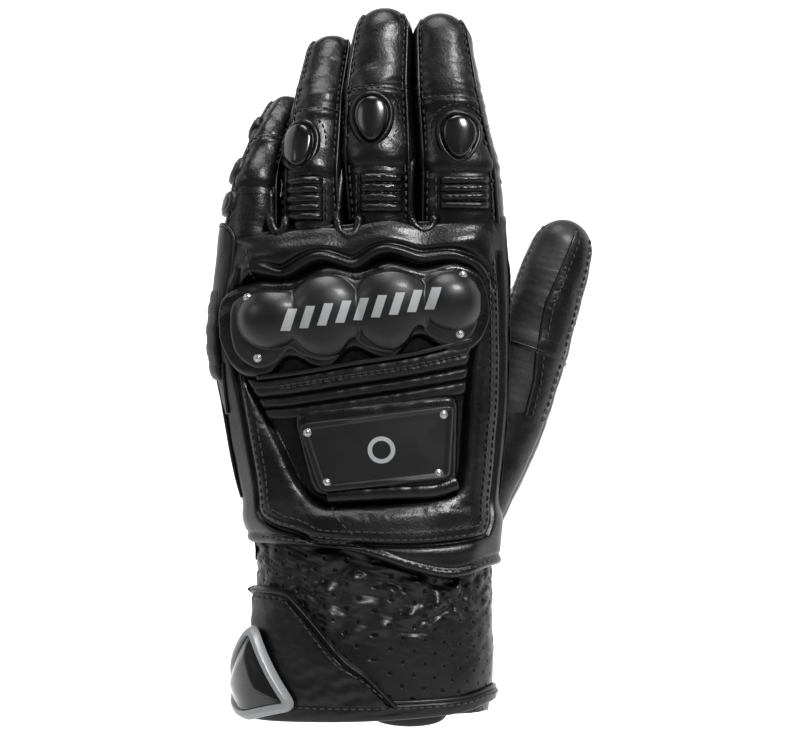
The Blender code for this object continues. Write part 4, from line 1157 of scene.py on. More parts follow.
def make_rivets():
    """Domed rivets with a rolled rim and a shallow ring, each turned to the surface under it."""
    rows = (("guard", GUARD_RIVETS, guard_lift), ("plate", PLATE_RIVETS, plate_lift))
    profile = mm(
        ((1.45, -1.2), (1.5, 0.1), (1.44, 0.32), (1.28, 0.44), (1.12, 0.38), (1.02, 0.36), (0.92, 0.52),
         (0.7, 0.7), (0.36, 0.8), (0.09, 0.83))
    )
    turn = np.linspace(0, 2 * math.pi, 28, endpoint=False)
    for name, places, height in rows:
        for k, (x, z) in enumerate(places):
            x, z = np.array([x * MM]), np.array([z * MM])
            lift = height(x, z) - 0.15 * MM
            centre = on_back(x, z, lift)[0]
            out = on_back(x, z, lift + 1 * MM)[0] - centre
            out /= np.linalg.norm(out)
            side = np.cross(out, (0, 0, 1.0))
            side /= np.linalg.norm(side)
            up = np.cross(side, out)
            around = np.cos(turn)[:, None] * side + np.sin(turn)[:, None] * up
            rings = centre + profile[:, None, :1] * around[None] + profile[:, None, 1:] * out
            made = closed_loft(f"{name}_rivet_head_{k + 1}", rings, FINISH["steel"], flip=True)
            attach(cover(made, "rivet_steel", f"{name}_rivet_{k + 1}"), "hand")


def plate_lift(x, z):
    """The back plate: a bevelled edge, a thin raised lip above and on the thumb's side, and a
    slightly crowned face."""
    inside = inside_by(x, z, PLATE)
    lift = 3.0 * MM + 1.5 * MM * pillow(inside, 1.2 * MM)
    lip = bell(inside - 1.3 * MM, 0.55 * MM) * smooth((x * 0.9 + (z - 84 * MM) * 0.8) / (9 * MM))
    lift += 0.55 * MM * lip
    lift -= 0.35 * MM * smooth((inside - 2.0 * MM) / (0.8 * MM))
    lift += 0.5 * MM * smooth(inside / (12 * MM))
    return lift


def make_plate():
    """The back plate on its padded leather, with the rolled fold below it."""
    corners = mm(((-26.5, 102.0), (31.2, 108.4), (30.4, 75.4), (-18.6, 71.6)))
    cushion = even(ease(corners, 6 * MM), 160)

    def puff(inside, x, z):
        crease = ripples(x / (9 * MM), z / (5 * MM), 51, 8)
        return -1.4 * MM + 4.4 * MM * pillow(inside, 3.0 * MM) + 0.2 * MM * crease

    pad = domed_patch("plate_cushion", cushion, on_back, puff, FINISH["glossy"], 26, 200)
    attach(cover(pad, "palm_leather", "plate_pad"), "hand")
    plate = domed_patch(
        "back_plate_bevelled", PLATE, on_back, lambda inside, x, z: plate_lift(x, z),
        FINISH["guard"], 60, 320, skirt=-1.2 * MM,
    )
    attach(cover(plate, "guard_shell", "back_plate"), "hand")
    fold = ((-13.5, 72.8), (-4, 73.4), (10, 74.2), (22, 74.8), (29.6, 77.2))
    path, normal = laid(fold, on_back, 1.4 * MM, 110)
    along = np.linspace(0, 1, 110)
    wave = ripples(along * 5, 0 * along, 52, 6)
    path = path + normal * (0.22 * MM * wave)[:, None]
    roll = cord_mesh("plate_roll", path, normal, 2.7 * MM, FINISH["glossy"], sides=20, flat=0.85)
    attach(roll, "hand")


def make_rib_band():
    """The band between the guard and the plate: a wide stitched strip under a piping, and two
    narrower padded rolls below it with deep grooves between."""
    high = curve_xz(
        (
            (-46, 114.0), (-36, 112.6), (-22, 114.6), (-6.2, 117.4), (15, 120.8), (36.6, 126.0),
            (42, 127),
        )
    )
    low = curve_xz(
        ((-46, 97.4), (-33.6, 98.4), (-25, 98.8), (0, 102.2), (32.2, 107.0), (42, 108.6))
    )
    xs = np.linspace(-42.0, 38.0, 250) * MM
    cuts = (0.0, 0.29, 0.54, 1.0)

    def ribs(x, z, share):
        ends = inside_by(x, z, RECESS) - 0.6 * MM
        wave = np.zeros_like(share)
        for first, last in zip(cuts[:-1], cuts[1:]):
            t = np.clip((share - first) / (last - first), 0, 1)
            wave = np.maximum(wave, np.clip(1 - np.abs(2 * t - 1) ** 3.2, 0, 1) ** 0.6)
        crease = ripples(x / (7 * MM), z / (9 * MM), 61, 8)
        row = bell(share - 0.76, 0.035)
        lift = 2.7 * MM * wave + 0.2 * MM * crease * wave - 0.55 * MM * row
        return (lift + 2.6 * MM) * pillow(ends, 2.4 * MM) - 3.2 * MM + 1.0 * MM * share

    band = field("rib_band", xs, low, high, on_back, ribs, FINISH["smooth"], 130, skirt=3.0 * MM)
    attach(cover(band, "palm_leather", "accordion_band"), "hand")

    def on_band(x, z, lift):
        share = np.clip((z - low(x)) / (high(x) - low(x)), 0, 1)
        return on_back(x, z, ribs(x, z, share) + lift)

    lines = []
    for share in (0.74, 0.79):
        x = np.linspace(-30, 32, 40) * MM
        z = low(x) * (1 - share) + high(x) * share
        lines.append(laid(np.stack([x, z], -1) / MM, on_band, 0.25 * MM, 160))
    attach(stitch_mesh("rib_stitches", lines, FINISH["thread"], 2.2 * MM, 1.5 * MM), "hand")
    edge = ((-37, 113.0), (-22, 115.0), (-6.2, 117.8), (15, 121.2), (34.6, 126.2))
    path, normal = laid(edge, on_back, 2.6 * MM)
    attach(cord_mesh("rib_piping", path, normal, 0.85 * MM, FINISH["piping"]), "hand")


def make_side_and_palm_pads():
    """The moulded pad on the little finger's side, and the palm's two reinforcing patches."""
    low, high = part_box("side_guard")
    middle_z = (low[2] + high[2]) / 2
    half_z = (high[2] - low[2]) / 2
    rows, columns = 70, 44
    t, u = np.meshgrid(np.linspace(-1, 1, rows), np.linspace(-1, 1, columns), indexing="ij")
    degrees = 180 + 22 * u * np.sqrt(np.clip(1 - 0.35 * t**4, 0, 1))
    inside = np.minimum(1 - np.abs(t) ** 4, 1 - np.abs(u) ** 4)
    ribs = np.clip(np.sin(t * math.pi * 4.5) * 3, -1, 1)
    lift = -0.5 * MM + 2.2 * MM * pillow(inside, 0.6) + 0.14 * MM * ribs * smooth(inside * 2 - 0.4)
    grid = body_at(degrees, middle_z + half_z * t, lift)
    made = sheet_mesh("side_pad_ribbed", grid, FINISH["rubber"])
    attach(cover(made, "moulded_rubber", "side_guard"), "hand")

    def quilt(seed, height):
        def rise(inside, x, z):
            lift = -0.3 * MM + height * pillow(inside, 2.0 * MM)
            lift -= 0.5 * MM * bell(inside - 3.4 * MM, 0.5 * MM)
            return lift + 0.15 * MM * ripples(x / (9 * MM), z / (9 * MM), seed, 7)

        return rise

    centre = (-6.0, 108.0)
    outline = oval(centre[0] * MM, centre[1] * MM, 46 * MM, 38 * MM, 96, 3.2)
    patch = domed_patch(
        "palm_patch_leather", outline, on_palm, quilt(71, 1.9 * MM), FINISH["leather"], 30, 170
    )
    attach(cover(patch, "palm_leather", "palm_patch"), "hand")
    outline = oval(-12 * MM, 68 * MM, 40 * MM, 22 * MM, 96, 3.0)
    heel = domed_patch(
        "heel_pad_leather", outline, on_palm, quilt(72, 3.2 * MM), FINISH["leather"], 30, 150
    )
    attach(cover(heel, "palm_leather", "heel_pad"), "hand")
    rows = []
    for x, z, width, height, power, top in (
        (-6, 108, 40.6, 32.6, 3.2, 1.5), (-12, 68, 34.6, 16.8, 3.0, 2.8),
    ):
        ring = even(oval(x, z, width, height, 96, power), 96)
        rows.append(laid(ring, on_palm, top * MM, 200, True))
    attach(stitch_mesh("palm_patch_stitches", rows, FINISH["thread"]), "hand")


# ---------------------------------------------------------------- fingers and thumb

FINGER_BODIES = {
    "index": ("hand", "index_base", "index_mid", "index_tip"),
    "middle": ("hand", "middle_base", "middle_mid", "middle_tip"),
    "ring": ("hand", "ring_base", "ring_mid", "ring_tip"),
    "little": ("hand", "little_base", "little_mid", "little_tip"),
    "thumb": ("hand", "thumb_lower", "thumb_tip"),
}


# where the piping runs down the two sides of each back, in degrees round it
SEAM_ANGLES = {
    "index": (325.0, 217.0), "middle": (321.0, 211.0), "ring": (317.0, 213.0),
    "little": (322.0, 214.0), "thumb": (340.0, 200.0),
}


def skin_relief(name, k, s, degrees, limb, low, high):
    """A finger skin's folds: soft waves everywhere, creases across near the joints that are
    stronger on the palm, a raised seam along both sides and rolled ends."""
    seed = 100 + 10 * sorted(FINGER_BODIES).index(name) + k
    arc = np.radians(degrees) * 10 * MM
    wave = ripples(np.cos(np.radians(degrees)) * 0.8, s / (17 * MM), seed, 7)
    wave = wave + 0.6 * ripples(np.sin(np.radians(degrees)) * 0.8, s / (14 * MM), seed + 40, 7)
    lift = 0.22 * MM * wave
    palmar = 0.5 + 0.5 * np.sin(np.radians(degrees))
    for joint in limb.joints[:-1]:
        near = bell(s - joint, 8 * MM)
        fold = ripples(arc / (15 * MM), s / (3.4 * MM) + 0.4 * wave, seed + 7, 7, 0.7, 1.4)
        lift += near * (0.08 + 0.46 * palmar) * MM * fold
    back = (0.5 - 0.5 * np.sin(np.radians(degrees))) ** 2
    if k == 1 and name != "thumb":
        lift += 1.0 * MM * back * bell(s - limb.joints[1] - 1.5 * MM, 4.6 * MM)
        lift -= 0.7 * MM * back * bell(s - low - 2.2 * MM, 1.2 * MM)
        lift += 0.7 * MM * back * bell(s - high + 3.4 * MM, 1.6 * MM)
    if k == 2 or (k == 1 and name == "thumb"):
        lift += 0.4 * MM * back * bell(s - low - 5 * MM, 3 * MM)
    fine = ripples(arc / (7 * MM) + 0.6 * wave, s / (2.4 * MM), seed + 9, 8)
    lift += 0.04 * MM * fine
    right, left = SEAM_ANGLES[name]
    for seam in (right, left):
        away = np.abs((degrees - seam + 180) % 360 - 180)
        lift -= 0.35 * MM * bell(away, 4.5)
    for seam in (22.0, 180 - 22.0):
        away = np.abs((degrees - seam + 180) % 360 - 180)
        lift += 0.55 * MM * bell(away - 7, 4.0) - 0.75 * MM * bell(away, 2.6)
    return lift


def finger_skin(name, k, low, high, zone, node_name, ends):
    """One skin of a finger: a tube along its centre line that bends at one joint."""
    limb = LIMBS[name]
    last = high >= limb.end - 1e-9
    columns = 150
    degrees = np.linspace(0, 360, columns, endpoint=False)
    if last:
        left = limb.dome
        straight = np.linspace(low, high - left, max(20, int((high - left - low) / (0.42 * MM))))
        curved = high - left + left * np.sin(np.linspace(0, math.pi / 2, 34))[1:]
        s = np.concatenate([straight, curved])
        s[-1] = high - 0.004 * MM
    else:
        s = np.linspace(low, high, max(30, int((high - low) / (0.42 * MM))))
    ss, a = np.meshgrid(s, degrees, indexing="ij")
    lift = skin_relief(name, k, ss, a, limb, low, high)
    if last:
        lift = lift * (1 - smooth((ss - high + limb.dome) / limb.dome) * 0.85)
    if ends[0]:
        lift += ends[0] * smooth(1 - (ss - low) / (1.6 * MM))
    if ends[1] and not last:
        lift += ends[1] * smooth(1 - (high - ss) / (1.6 * MM))
    grid = limb.at(a, ss, lift)
    made = sheet_mesh(f"{name}_skin_{k + 1}", grid, FINISH["leather"], wrap=True, close_end=last)
    cover(made, "back_leather", node_name)
    carry(made, name, zone)
    return made


def carry(obj, name, zone):
    """Bakes a piece's transform into its mesh. It reads the finger's centre at the two lengths of zone but
    does not bend the piece.
    """
    limb = LIMBS[name]
    start, end = (tuple(limb.read(np.array([s]))[0][0]) for s in zone)
    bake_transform(obj)


SPLITS = {"index": (0.86, 0.9), "middle": (0.84, 0.9), "ring": (0.86, 0.86), "little": (0.8, 0.8)}


def finger_zones(name):
    """The lengths between which a finger's skins start and end, and a zone round each joint that is passed on
    to carry: one (low, high, zone) for each joint."""
    limb = LIMBS[name]
    j = limb.joints
    a, b = SPLITS[name]
    first = j[0] + a * (j[1] - j[0])
    second = j[1] + b * (j[2] - j[1])
    over = 1.2 * MM
    return (
        (-13 * MM, first + over, (-8 * MM, 8 * MM)),
        (first - over, second + over, (max(first, j[1] - 8 * MM), j[1] + 8 * MM)),
        (second - over, limb.end, (max(second, j[2] - 6 * MM), j[2] + 7 * MM)),
    )


def ring_round(name, s, lift):
    """A closed line round a limb at a length, and its outward directions."""
    return lifted(LIMBS[name].at, np.linspace(0, 360, 96, endpoint=False), s, lift)


def make_finger(name):
    """A finger's three skins with their seams, piping, stitches and soft padding."""
    limb = LIMBS[name]
    zones = finger_zones(name)
    parts = ("base", "mid", "tip")
    ends = ((0, -0.5 * MM), (0.0, 0.35 * MM), (-0.7 * MM, 0))
    for k, ((low, high, zone), part) in enumerate(zip(zones, parts)):
        finger_skin(name, k, low, high, zone, f"{name}_{part}", ends[k])
    edge = zones[1][1]
    back = np.linspace(212, 328, 50)
    rows = [lifted(limb.at, back, edge - 1.9 * MM, 0.35 * MM)]
    seam = stitch_mesh(f"{name}_seam_stitches", rows, FINISH["thread"], 2.2 * MM, 1.5 * MM)
    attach(seam, FINGER_BODIES[name][2])
    for k, (low, high, zone) in enumerate(zones):
        top = min(high, limb.end - 4 * MM)
        s = np.linspace(low + (16 * MM if k == 0 else 1 * MM), top, 60)
        right, left = SEAM_ANGLES[name]
        rows = [lifted(limb.at, degrees, s, 0.2 * MM) for degrees in (right - 9.0, left + 9.0)]
        stitches = stitch_mesh(f"{name}_side_stitches_{k + 1}", rows, FINISH["thread"])
        carry(stitches, name, zone)
        for side, degrees in (("thumb_side", right), ("little_side", left)):
            path, normal = lifted(limb.at, degrees, s, 0.12 * MM)
            label = f"{name}_{side}_piping_{k + 1}"
            carry(cord_mesh(label, path, normal, 0.62 * MM, FINISH["piping"]), name, zone)


# middle X and Z, width, height, and how much wider the top is
INSERTS = {
    "index": (31.2, 195.6, 10.8, 15.0, 0.2), "middle": (1.3, 201.7, 10.2, 15.8, 0.2),
    "ring": (-23.6, 193.0, 9.4, 15.2, 0.18),
}
# middle X and Z, width, height, and how many folds
ACCORDIONS = {
    "index": (33.0, 176.4, 17.0, 11.6, 4), "middle": (4.6, 176.4, 14.6, 13.6, 4),
    "ring": (-21.6, 174.4, 12.6, 15.4, 5),
}


def make_inserts():
    """The hard inserts over three fingers' middle joints: a glossy egg in a puffed, stitched
    leather ring."""
    for name, (x, z, width, height, egg) in INSERTS.items():
        place = LIMBS[name].place
        body = FINGER_BODIES[name][2]
        ring = oval(x * MM, z * MM, (width + 5.4) * MM, (height + 4.6) * MM, 96, 2.0, egg)
        collar = domed_patch(
            f"{name}_insert_ring", ring, place,
            lambda inside, x, z: -0.5 * MM + 1.8 * MM * pillow(inside, 1.8 * MM)
            - 0.9 * MM * bell(inside - 2.6 * MM, 0.6 * MM),
            FINISH["leather"], 20, 110,
        )
        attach(collar, body)
        egg_line = oval(x * MM, z * MM, width * MM, height * MM, 96, 2.0, egg)
        made = domed_patch(
            f"{name}_insert_egg", egg_line, place,
            lambda inside, x, z: 0.6 * MM + 1.2 * MM * pillow(inside, 1.0 * MM)
            + 1.5 * MM * pillow(inside, 5.4 * MM),
            FINISH["insert"], 26, 96,
        )
        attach(cover(made, "guard_shell", f"{name}_insert"), body)
        line = oval(x, z, width + 8.6, height + 8.0, 96, 2.0, egg)
        rows = [laid(line, place, 0.25 * MM, 120, True)]
        stitches = stitch_mesh(
            f"{name}_insert_stitches", rows, FINISH["thread"], 2.1 * MM, 1.5 * MM, 0.25 * MM
        )
        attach(stitches, body)


def make_accordions():
    """The padded concertina folds over three knuckles, with a stitch row down both sides."""
    for name, (x, z, width, height, folds) in ACCORDIONS.items():
        place = LIMBS[name].place
        half = width / 2
        slant = 0.07 if name == "index" else 0.0
        left, right, rise = x - half - 2, x + half + 2, half * slant
        z0, z1 = z - height / 2, z + height / 2
        low = curve_xz(((left, z0 - 0.1 * slant), (x, z0), (right, z0 + rise)))
        high = curve_xz(((left, z1), (x, z1), (right, z1 + rise)))
        xs = np.linspace(x - half, x + half, 60) * MM
        seed = 80 + len(name)

        def folded(px, pz, share, folds=folds, seed=seed, x=x, half=half):
            ends = half * MM - np.abs(px - x * MM)
            wave = np.abs(np.sin(share * math.pi * folds)) ** 0.55
            crease = ripples(px / (3.4 * MM), pz / (4 * MM), seed, 7)
            return (0.5 * MM + 1.5 * MM * wave + 0.14 * MM * crease) * pillow(ends, 3.0 * MM) - 0.2 * MM

        made = field(f"{name}_concertina", xs, low, high, place, folded, FINISH["glossy"], 90)
        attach(cover(made, "back_leather", f"{name}_accordion"), FINGER_BODIES[name][1])
        rows = []
        for side in (-1, 1):
            edge = x + side * (half + 1.0)
            rows.append(laid(((edge, z0), (edge, z1)), place, 0.3 * MM, 20))
        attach(stitch_mesh(f"{name}_concertina_stitches", rows, FINISH["thread"]), FINGER_BODIES[name][1])


def make_little_pads():
    """Three raised moulded pads on the outer side of the little finger."""
    limb = LIMBS["little"]
    for number in (1, 2, 3):
        low, high = (np.array(corner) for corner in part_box(f"little_armour_{number}"))
        middle = (low + high) / 2
        away = np.linalg.norm(limb.middle - middle, axis=1)
        s0 = limb.s[np.argmin(away)]
        half = (high[2] - low[2]) / 2
        u, v = np.meshgrid(np.linspace(-1, 1, 40), np.linspace(-1, 1, 40), indexing="ij")
        radius = np.maximum(np.abs(u), np.abs(v))
        turn = np.arctan2(v, u)
        shape = (np.abs(np.cos(turn)) ** 3 + np.abs(np.sin(turn)) ** 3) ** (-1 / 3)
        pu, pv = radius * np.cos(turn) * shape, radius * np.sin(turn) * shape
        rise = -0.6 * MM + 2.6 * MM * pillow(1 - radius, 0.45) - 0.4 * MM * bell(radius - 0.62, 0.08)
        grid = limb.at(198 + 34 * pv, s0 + half * pu, rise)
        made = sheet_mesh(f"little_pad_{number}", grid, FINISH["smooth"], flip=True)
        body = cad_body(f"little_armour_{number}")
        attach(cover(made, "moulded_rubber", f"little_armour_{number}"), body)


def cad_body(node_name):
    """The body that a CAD node belongs to."""
    for body, nodes in NODES_OF.items():
        if node_name in nodes:
            return body
    raise ValueError(f"no body holds {node_name}")


NODES_OF = frame["record"]["behaviour"]["bodies"]


def facet_edge(s):
    """The angle of the thumb's back seam at a length along it."""
    return np.interp(s, mm((0, 14, 24, 41, 56, 74)), (292.0, 288.0, 279.0, 271.0, 278.0, 286.0))


def paint_facet_highlight(made):
    """Gives the finer leather, coloured lighter as a painted highlight where the light falls on this side of
    the thumb, to a thumb skin's faces between its index side and the seam down its back, over the thumb's
    hinge."""
    limb = LIMBS["thumb"]
    count = len(made.data.polygons)
    centres = np.empty(count * 3)
    made.data.polygons.foreach_get("center", centres)
    centres = centres.reshape(-1, 3)
    s = np.interp(centres[:, 2], limb.middle[:, 2], limb.s)
    middle, palm, half, deep = limb.read(s)
    away = centres - middle
    x = away @ limb.across / (half + 1e-6)
    y = np.sum(away * palm, axis=1) / (deep + 1e-6)
    degrees = np.degrees(np.arctan2(y, x)) % 360
    # Painted highlight: these faces, where the light falls on the thumb, get the lighter leather.
    facet = (degrees > 190) & (degrees < facet_edge(s)) & (s > 3 * MM)
    made.data.materials.append(FINISH["soft"])
    made.data.polygons.foreach_set("material_index", facet.astype(np.int32))


def make_thumb():
    """The thumb: a root skin from inside the hand and a tip skin, with a seam down its back that parts a
    facet coloured lighter as a painted highlight, and stitch rows beside the seam."""
    limb = LIMBS["thumb"]
    split = 24 * MM
    over = 1.2 * MM
    root_bend = (-9 * MM, 9 * MM)
    tip_bend = (limb.joints[1] - 8 * MM, limb.joints[1] + 8 * MM)
    root_ends, tip_ends = (0, 0.25 * MM), (-0.7 * MM, 0)
    skins = (
        finger_skin("thumb", 0, -40 * MM, split + over, root_bend, "thumb_lower", root_ends),
        finger_skin("thumb", 1, split - over, limb.end, tip_bend, "thumb_tip", tip_ends),
    )
    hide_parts("thumb_mound")
    for made in skins:
        paint_facet_highlight(made)
    zones = ((2 * MM, split, root_bend), (split, limb.end - 5 * MM, tip_bend))
    for k, (low, high, zone) in enumerate(zones):
        s = np.linspace(low, high, 80)
        path, normal = lifted(limb.at, facet_edge(s), s, 0.1 * MM)
        seam = cord_mesh(f"thumb_back_seam_{k + 1}", path, normal, 0.6 * MM, FINISH["piping"])
        carry(seam, "thumb", zone)
        angles = (facet_edge(s) + 11.0, 330.0, 204.0)
        rows = [lifted(limb.at, degrees, s, 0.2 * MM) for degrees in angles]
        carry(stitch_mesh(f"thumb_stitches_{k + 1}", rows, FINISH["thread"]), "thumb", zone)
    path, normal = ring_round("thumb", split + 0.9 * MM, 0.15 * MM)
    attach(cord_mesh("thumb_seam", path, normal, 0.5 * MM, FINISH["piping"], closed=True), "thumb_lower")


# ---------------------------------------------------------------- cuff


HEM_LOW = curve_xz(((-52, -1.6), (-42, -3.4), (-30, -3.9), (0.5, -3.5), (29.5, -1.4), (41.0, 2.0), (50, 4.4)))


def soft_face(height, wave, seed):
    """A rise with a rounded lower edge and slow ripples, for one face of the tongue."""

    def rise(x, z, share):
        ripple = ripples(x / (8 * MM), z / (8 * MM), seed)
        return height * pillow(share, 0.3) + wave * ripple

    return rise


def make_cuff_trim():
    """The hem, its binding and stitches, the lining, the tongue and the side panel."""
    degrees = np.linspace(0, 360, 260, endpoint=False)
    share = np.linspace(0, 1, 30)
    a, t = np.meshgrid(degrees, share)
    flat = body_at(a, np.zeros_like(a), np.zeros_like(a))
    base = HEM_LOW(flat[..., 0])
    z = base + (5.9 * MM - 0.03 * flat[..., 0]) * t
    lift = -0.2 * MM + 1.7 * MM * np.sqrt(np.clip(1 - (2 * t - 1) ** 4, 0, 1))
    lift += 0.10 * MM * ripples(np.radians(a) * 6, t * 1.4, 91, 8)
    outer = body_at(a, z, lift)
    inner = body_at(a, z[::-1], np.full_like(a, -2.4 * MM))
    grid = np.concatenate([outer, inner])
    hem = sheet_mesh("hem_binding", grid, FINISH["smooth"], wrap=True)
    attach(cover(hem, "back_leather", "cuff_hem"), "cuff")
    height = base[0] + 4.3 * MM - 0.03 * flat[0, :, 0]
    line, out = lifted(body_at, degrees, height, 1.45 * MM)
    bead, up = lifted(body_at, degrees, height + 1.9 * MM, 0.1 * MM)
    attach(cord_mesh("hem_piping", bead, up, 0.75 * MM, FINISH["piping"], closed=True), "cuff")
    rows = [(np.concatenate([line, line[:1]]), np.concatenate([out, out[:1]]))]
    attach(stitch_mesh("hem_stitches", rows, FINISH["thread"]), "cuff")

    z = np.linspace(-1.5, 50, 40) * MM
    a, zz = np.meshgrid(degrees[::2], z)
    lining = sheet_mesh(
        "lining_tube", body_at(a, zz, -2.6 * MM + 0.25 * MM * ripples(np.radians(a) * 3, zz / (9 * MM), 92)),
        FINISH["lining"], wrap=True, thickness=0.8 * MM,
    )
    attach(cover(lining, "lining_fabric", "cuff_lining"), "cuff")

    xs = np.linspace(0.6, 29.4, 80) * MM
    turn = np.linspace(0, math.pi, 40)
    bow_x = (15 - 14.6 * np.cos(turn)) * MM
    bow_z = (-2.2 - 6.3 * np.sin(turn) ** 0.6) * MM
    high_line = curve_xz(((-1, 3), (15, 3.2), (31, 3.6)))
    tongue = field(
        "tongue_soft", xs, lambda x: np.interp(x, bow_x, bow_z), high_line,
        lambda x, z, lift: on_palm(x, z, lift - 5.2 * MM),
        soft_face(2.2 * MM, 0.2 * MM, 93), FINISH["rubber"], 40, skirt=1.5 * MM, flip=True,
    )
    back = field(
        "tongue_front_face", xs, lambda x: np.interp(x, bow_x, bow_z), high_line,
        lambda x, z, lift: on_palm(x, z, -6.4 * MM - lift),
        soft_face(1.9 * MM, 0.1 * MM, 96), FINISH["rubber"], 40, skirt=1.5 * MM,
    )
    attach(back, "cuff")
    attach(cover(tongue, "lining_fabric", "palm_tongue"), "cuff")

    top = curve_xz(
        (
            (-50, 41.6), (-38.7, 41.9), (-28.4, 41.0), (-23.4, 37.0), (-8.9, 19.5), (-0.2, 12.6),
            (8.6, 3.6), (12, 0.6),
        )
    )
    bottom = curve_xz(((-50, -1.4), (-38, -0.6), (0.5, 0.6), (12, 1.4)))
    xs = np.linspace(-38.9, 9.8, 200) * MM

    def panel(x, z, share):
        edge = top(x) - z
        lift = 1.2 * MM + 1.3 * MM * bell(edge - 1.3 * MM, 1.0 * MM)
        lift -= 0.5 * MM * bell(edge - 3.1 * MM, 0.6 * MM)
        lift += 0.35 * MM * ripples(x / (20 * MM), z / (16 * MM), 94)
        lift += 0.14 * MM * ripples(x / (7 * MM), z / (5 * MM), 95)
        return lift * pillow(edge, 1.2 * MM)

    side = field("cuff_side_leather", xs, bottom, top, on_back, panel, FINISH["smooth"], 150, flip=False)
    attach(cover(side, "back_leather", "cuff_side_panel"), "cuff")
    edge_row = ((-38, 38.4), (-29, 37.8), (-25, 34.0), (-11.4, 16.6), (-2, 10.4), (5.4, 4.6))
    rows = [laid(edge_row, on_back, 1.6 * MM, 120)]
    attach(stitch_mesh("side_panel_stitches", rows, FINISH["thread"]), "cuff")


def band_mesh(name, first, last, low, high, lift, thickness, finish, seed, columns=120):
    """A closed band round the cuff between two angles and heights, with a bound edge."""
    share = np.linspace(0, 2 * math.pi, 52, endpoint=False)
    height = np.sign(np.cos(share)) * np.abs(np.cos(share)) ** 0.12
    depth = np.sign(np.sin(share)) * np.abs(np.sin(share)) ** 0.5
    degrees = np.linspace(first, last, columns)
    a, h = np.meshgrid(degrees, height, indexing="ij")
    _, d = np.meshgrid(degrees, depth, indexing="ij")
    z = (low + high) / 2 + (high - low) / 2 * h
    wave = 0.15 * MM * ripples(np.radians(a) * 4, z / (14 * MM), seed)
    out = lift + thickness / 2 + thickness / 2 * d + wave
    return closed_loft(name, body_at(a, z, out), finish, flip=True)


def make_strap():
    """The closure strap: woven bands with plush tapes and the grey-framed tab at its end."""
    low, high = 1.5 * MM, 23.5 * MM
    anchor = band_mesh("anchor_band", 30, 106, low, high, 0.4 * MM, 2.2 * MM, FINISH["strap"], 201)
    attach(cover(anchor, "strap_fabric", "strap_anchor"), "cuff")
    loop = band_mesh("loop_plush", 140, 206, 4 * MM, 21 * MM, 0.5 * MM, 0.9 * MM, FINISH["plush"], 202)
    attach(cover(loop, "strap_fabric", "loop_tape"), "cuff")
    hook = band_mesh("hook_plush", 140, 206, 4 * MM, 21 * MM, 1.3 * MM, 0.7 * MM, FINISH["plush"], 203)
    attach(cover(hook, "strap_fabric", "hook_tape"), "strap_end")
    strap = band_mesh("strap_woven_band", 109, 214, low, high, 2.1 * MM, 1.7 * MM, FINISH["strap"], 204, 160)
    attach(cover(strap, "strap_fabric", "strap_band"), "strap_end")
    degrees = np.linspace(110, 196, 120)
    rows = [lifted(body_at, degrees, z * MM, 3.85 * MM) for z in (3.6, 21.4)]
    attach(stitch_mesh("strap_stitches", rows, FINISH["thread"]), "strap_end")
    make_tab()


def make_tab():
    """The tab: a bevelled light frame round a dark textured inlay, laid round the cuff's side."""
    corners = np.array(((160.0, 5.0), (198.0, -4.5), (242.0, 0.5), (207.0, 31.0)))
    radius = 40 * MM
    flat = np.stack([np.radians(corners[:, 0]) * radius, corners[:, 1] * MM], axis=-1)

    def place(u, z, lift):
        return body_at(np.degrees(u / radius), z, lift + 3.7 * MM)

    outline = ease(flat, 7 * MM, 10)
    inner = even(grow(even(outline, 200), -3.2 * MM), 200)

    def frame_rise(inside, u, z):
        lift = 2.6 * MM * np.clip(inside / (1.5 * MM), 0, 1) ** 0.8
        return lift - 1.5 * MM * smooth((inside - 3.0 * MM) / (0.5 * MM))

    made = domed_patch("tab_frame_bevelled", outline, place, frame_rise, FINISH["tab"], 44, 220, 0.6 * MM)
    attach(cover(made, "tab_frame", "strap_tab_frame"), "strap_end")

    def inlay_rise(inside, u, z):
        return 1.2 * MM + 0.5 * MM * pillow(inside, 0.6 * MM) + 1.3 * MM * smooth(inside / (7 * MM))

    inlay = domed_patch("tab_inlay_dark", inner, place, inlay_rise, FINISH["insert"], 30, 160, 0.2 * MM)
    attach(cover(inlay, "moulded_rubber", "strap_tab_inlay"), "strap_end")


# ---------------------------------------------------------------- floor, lights and camera


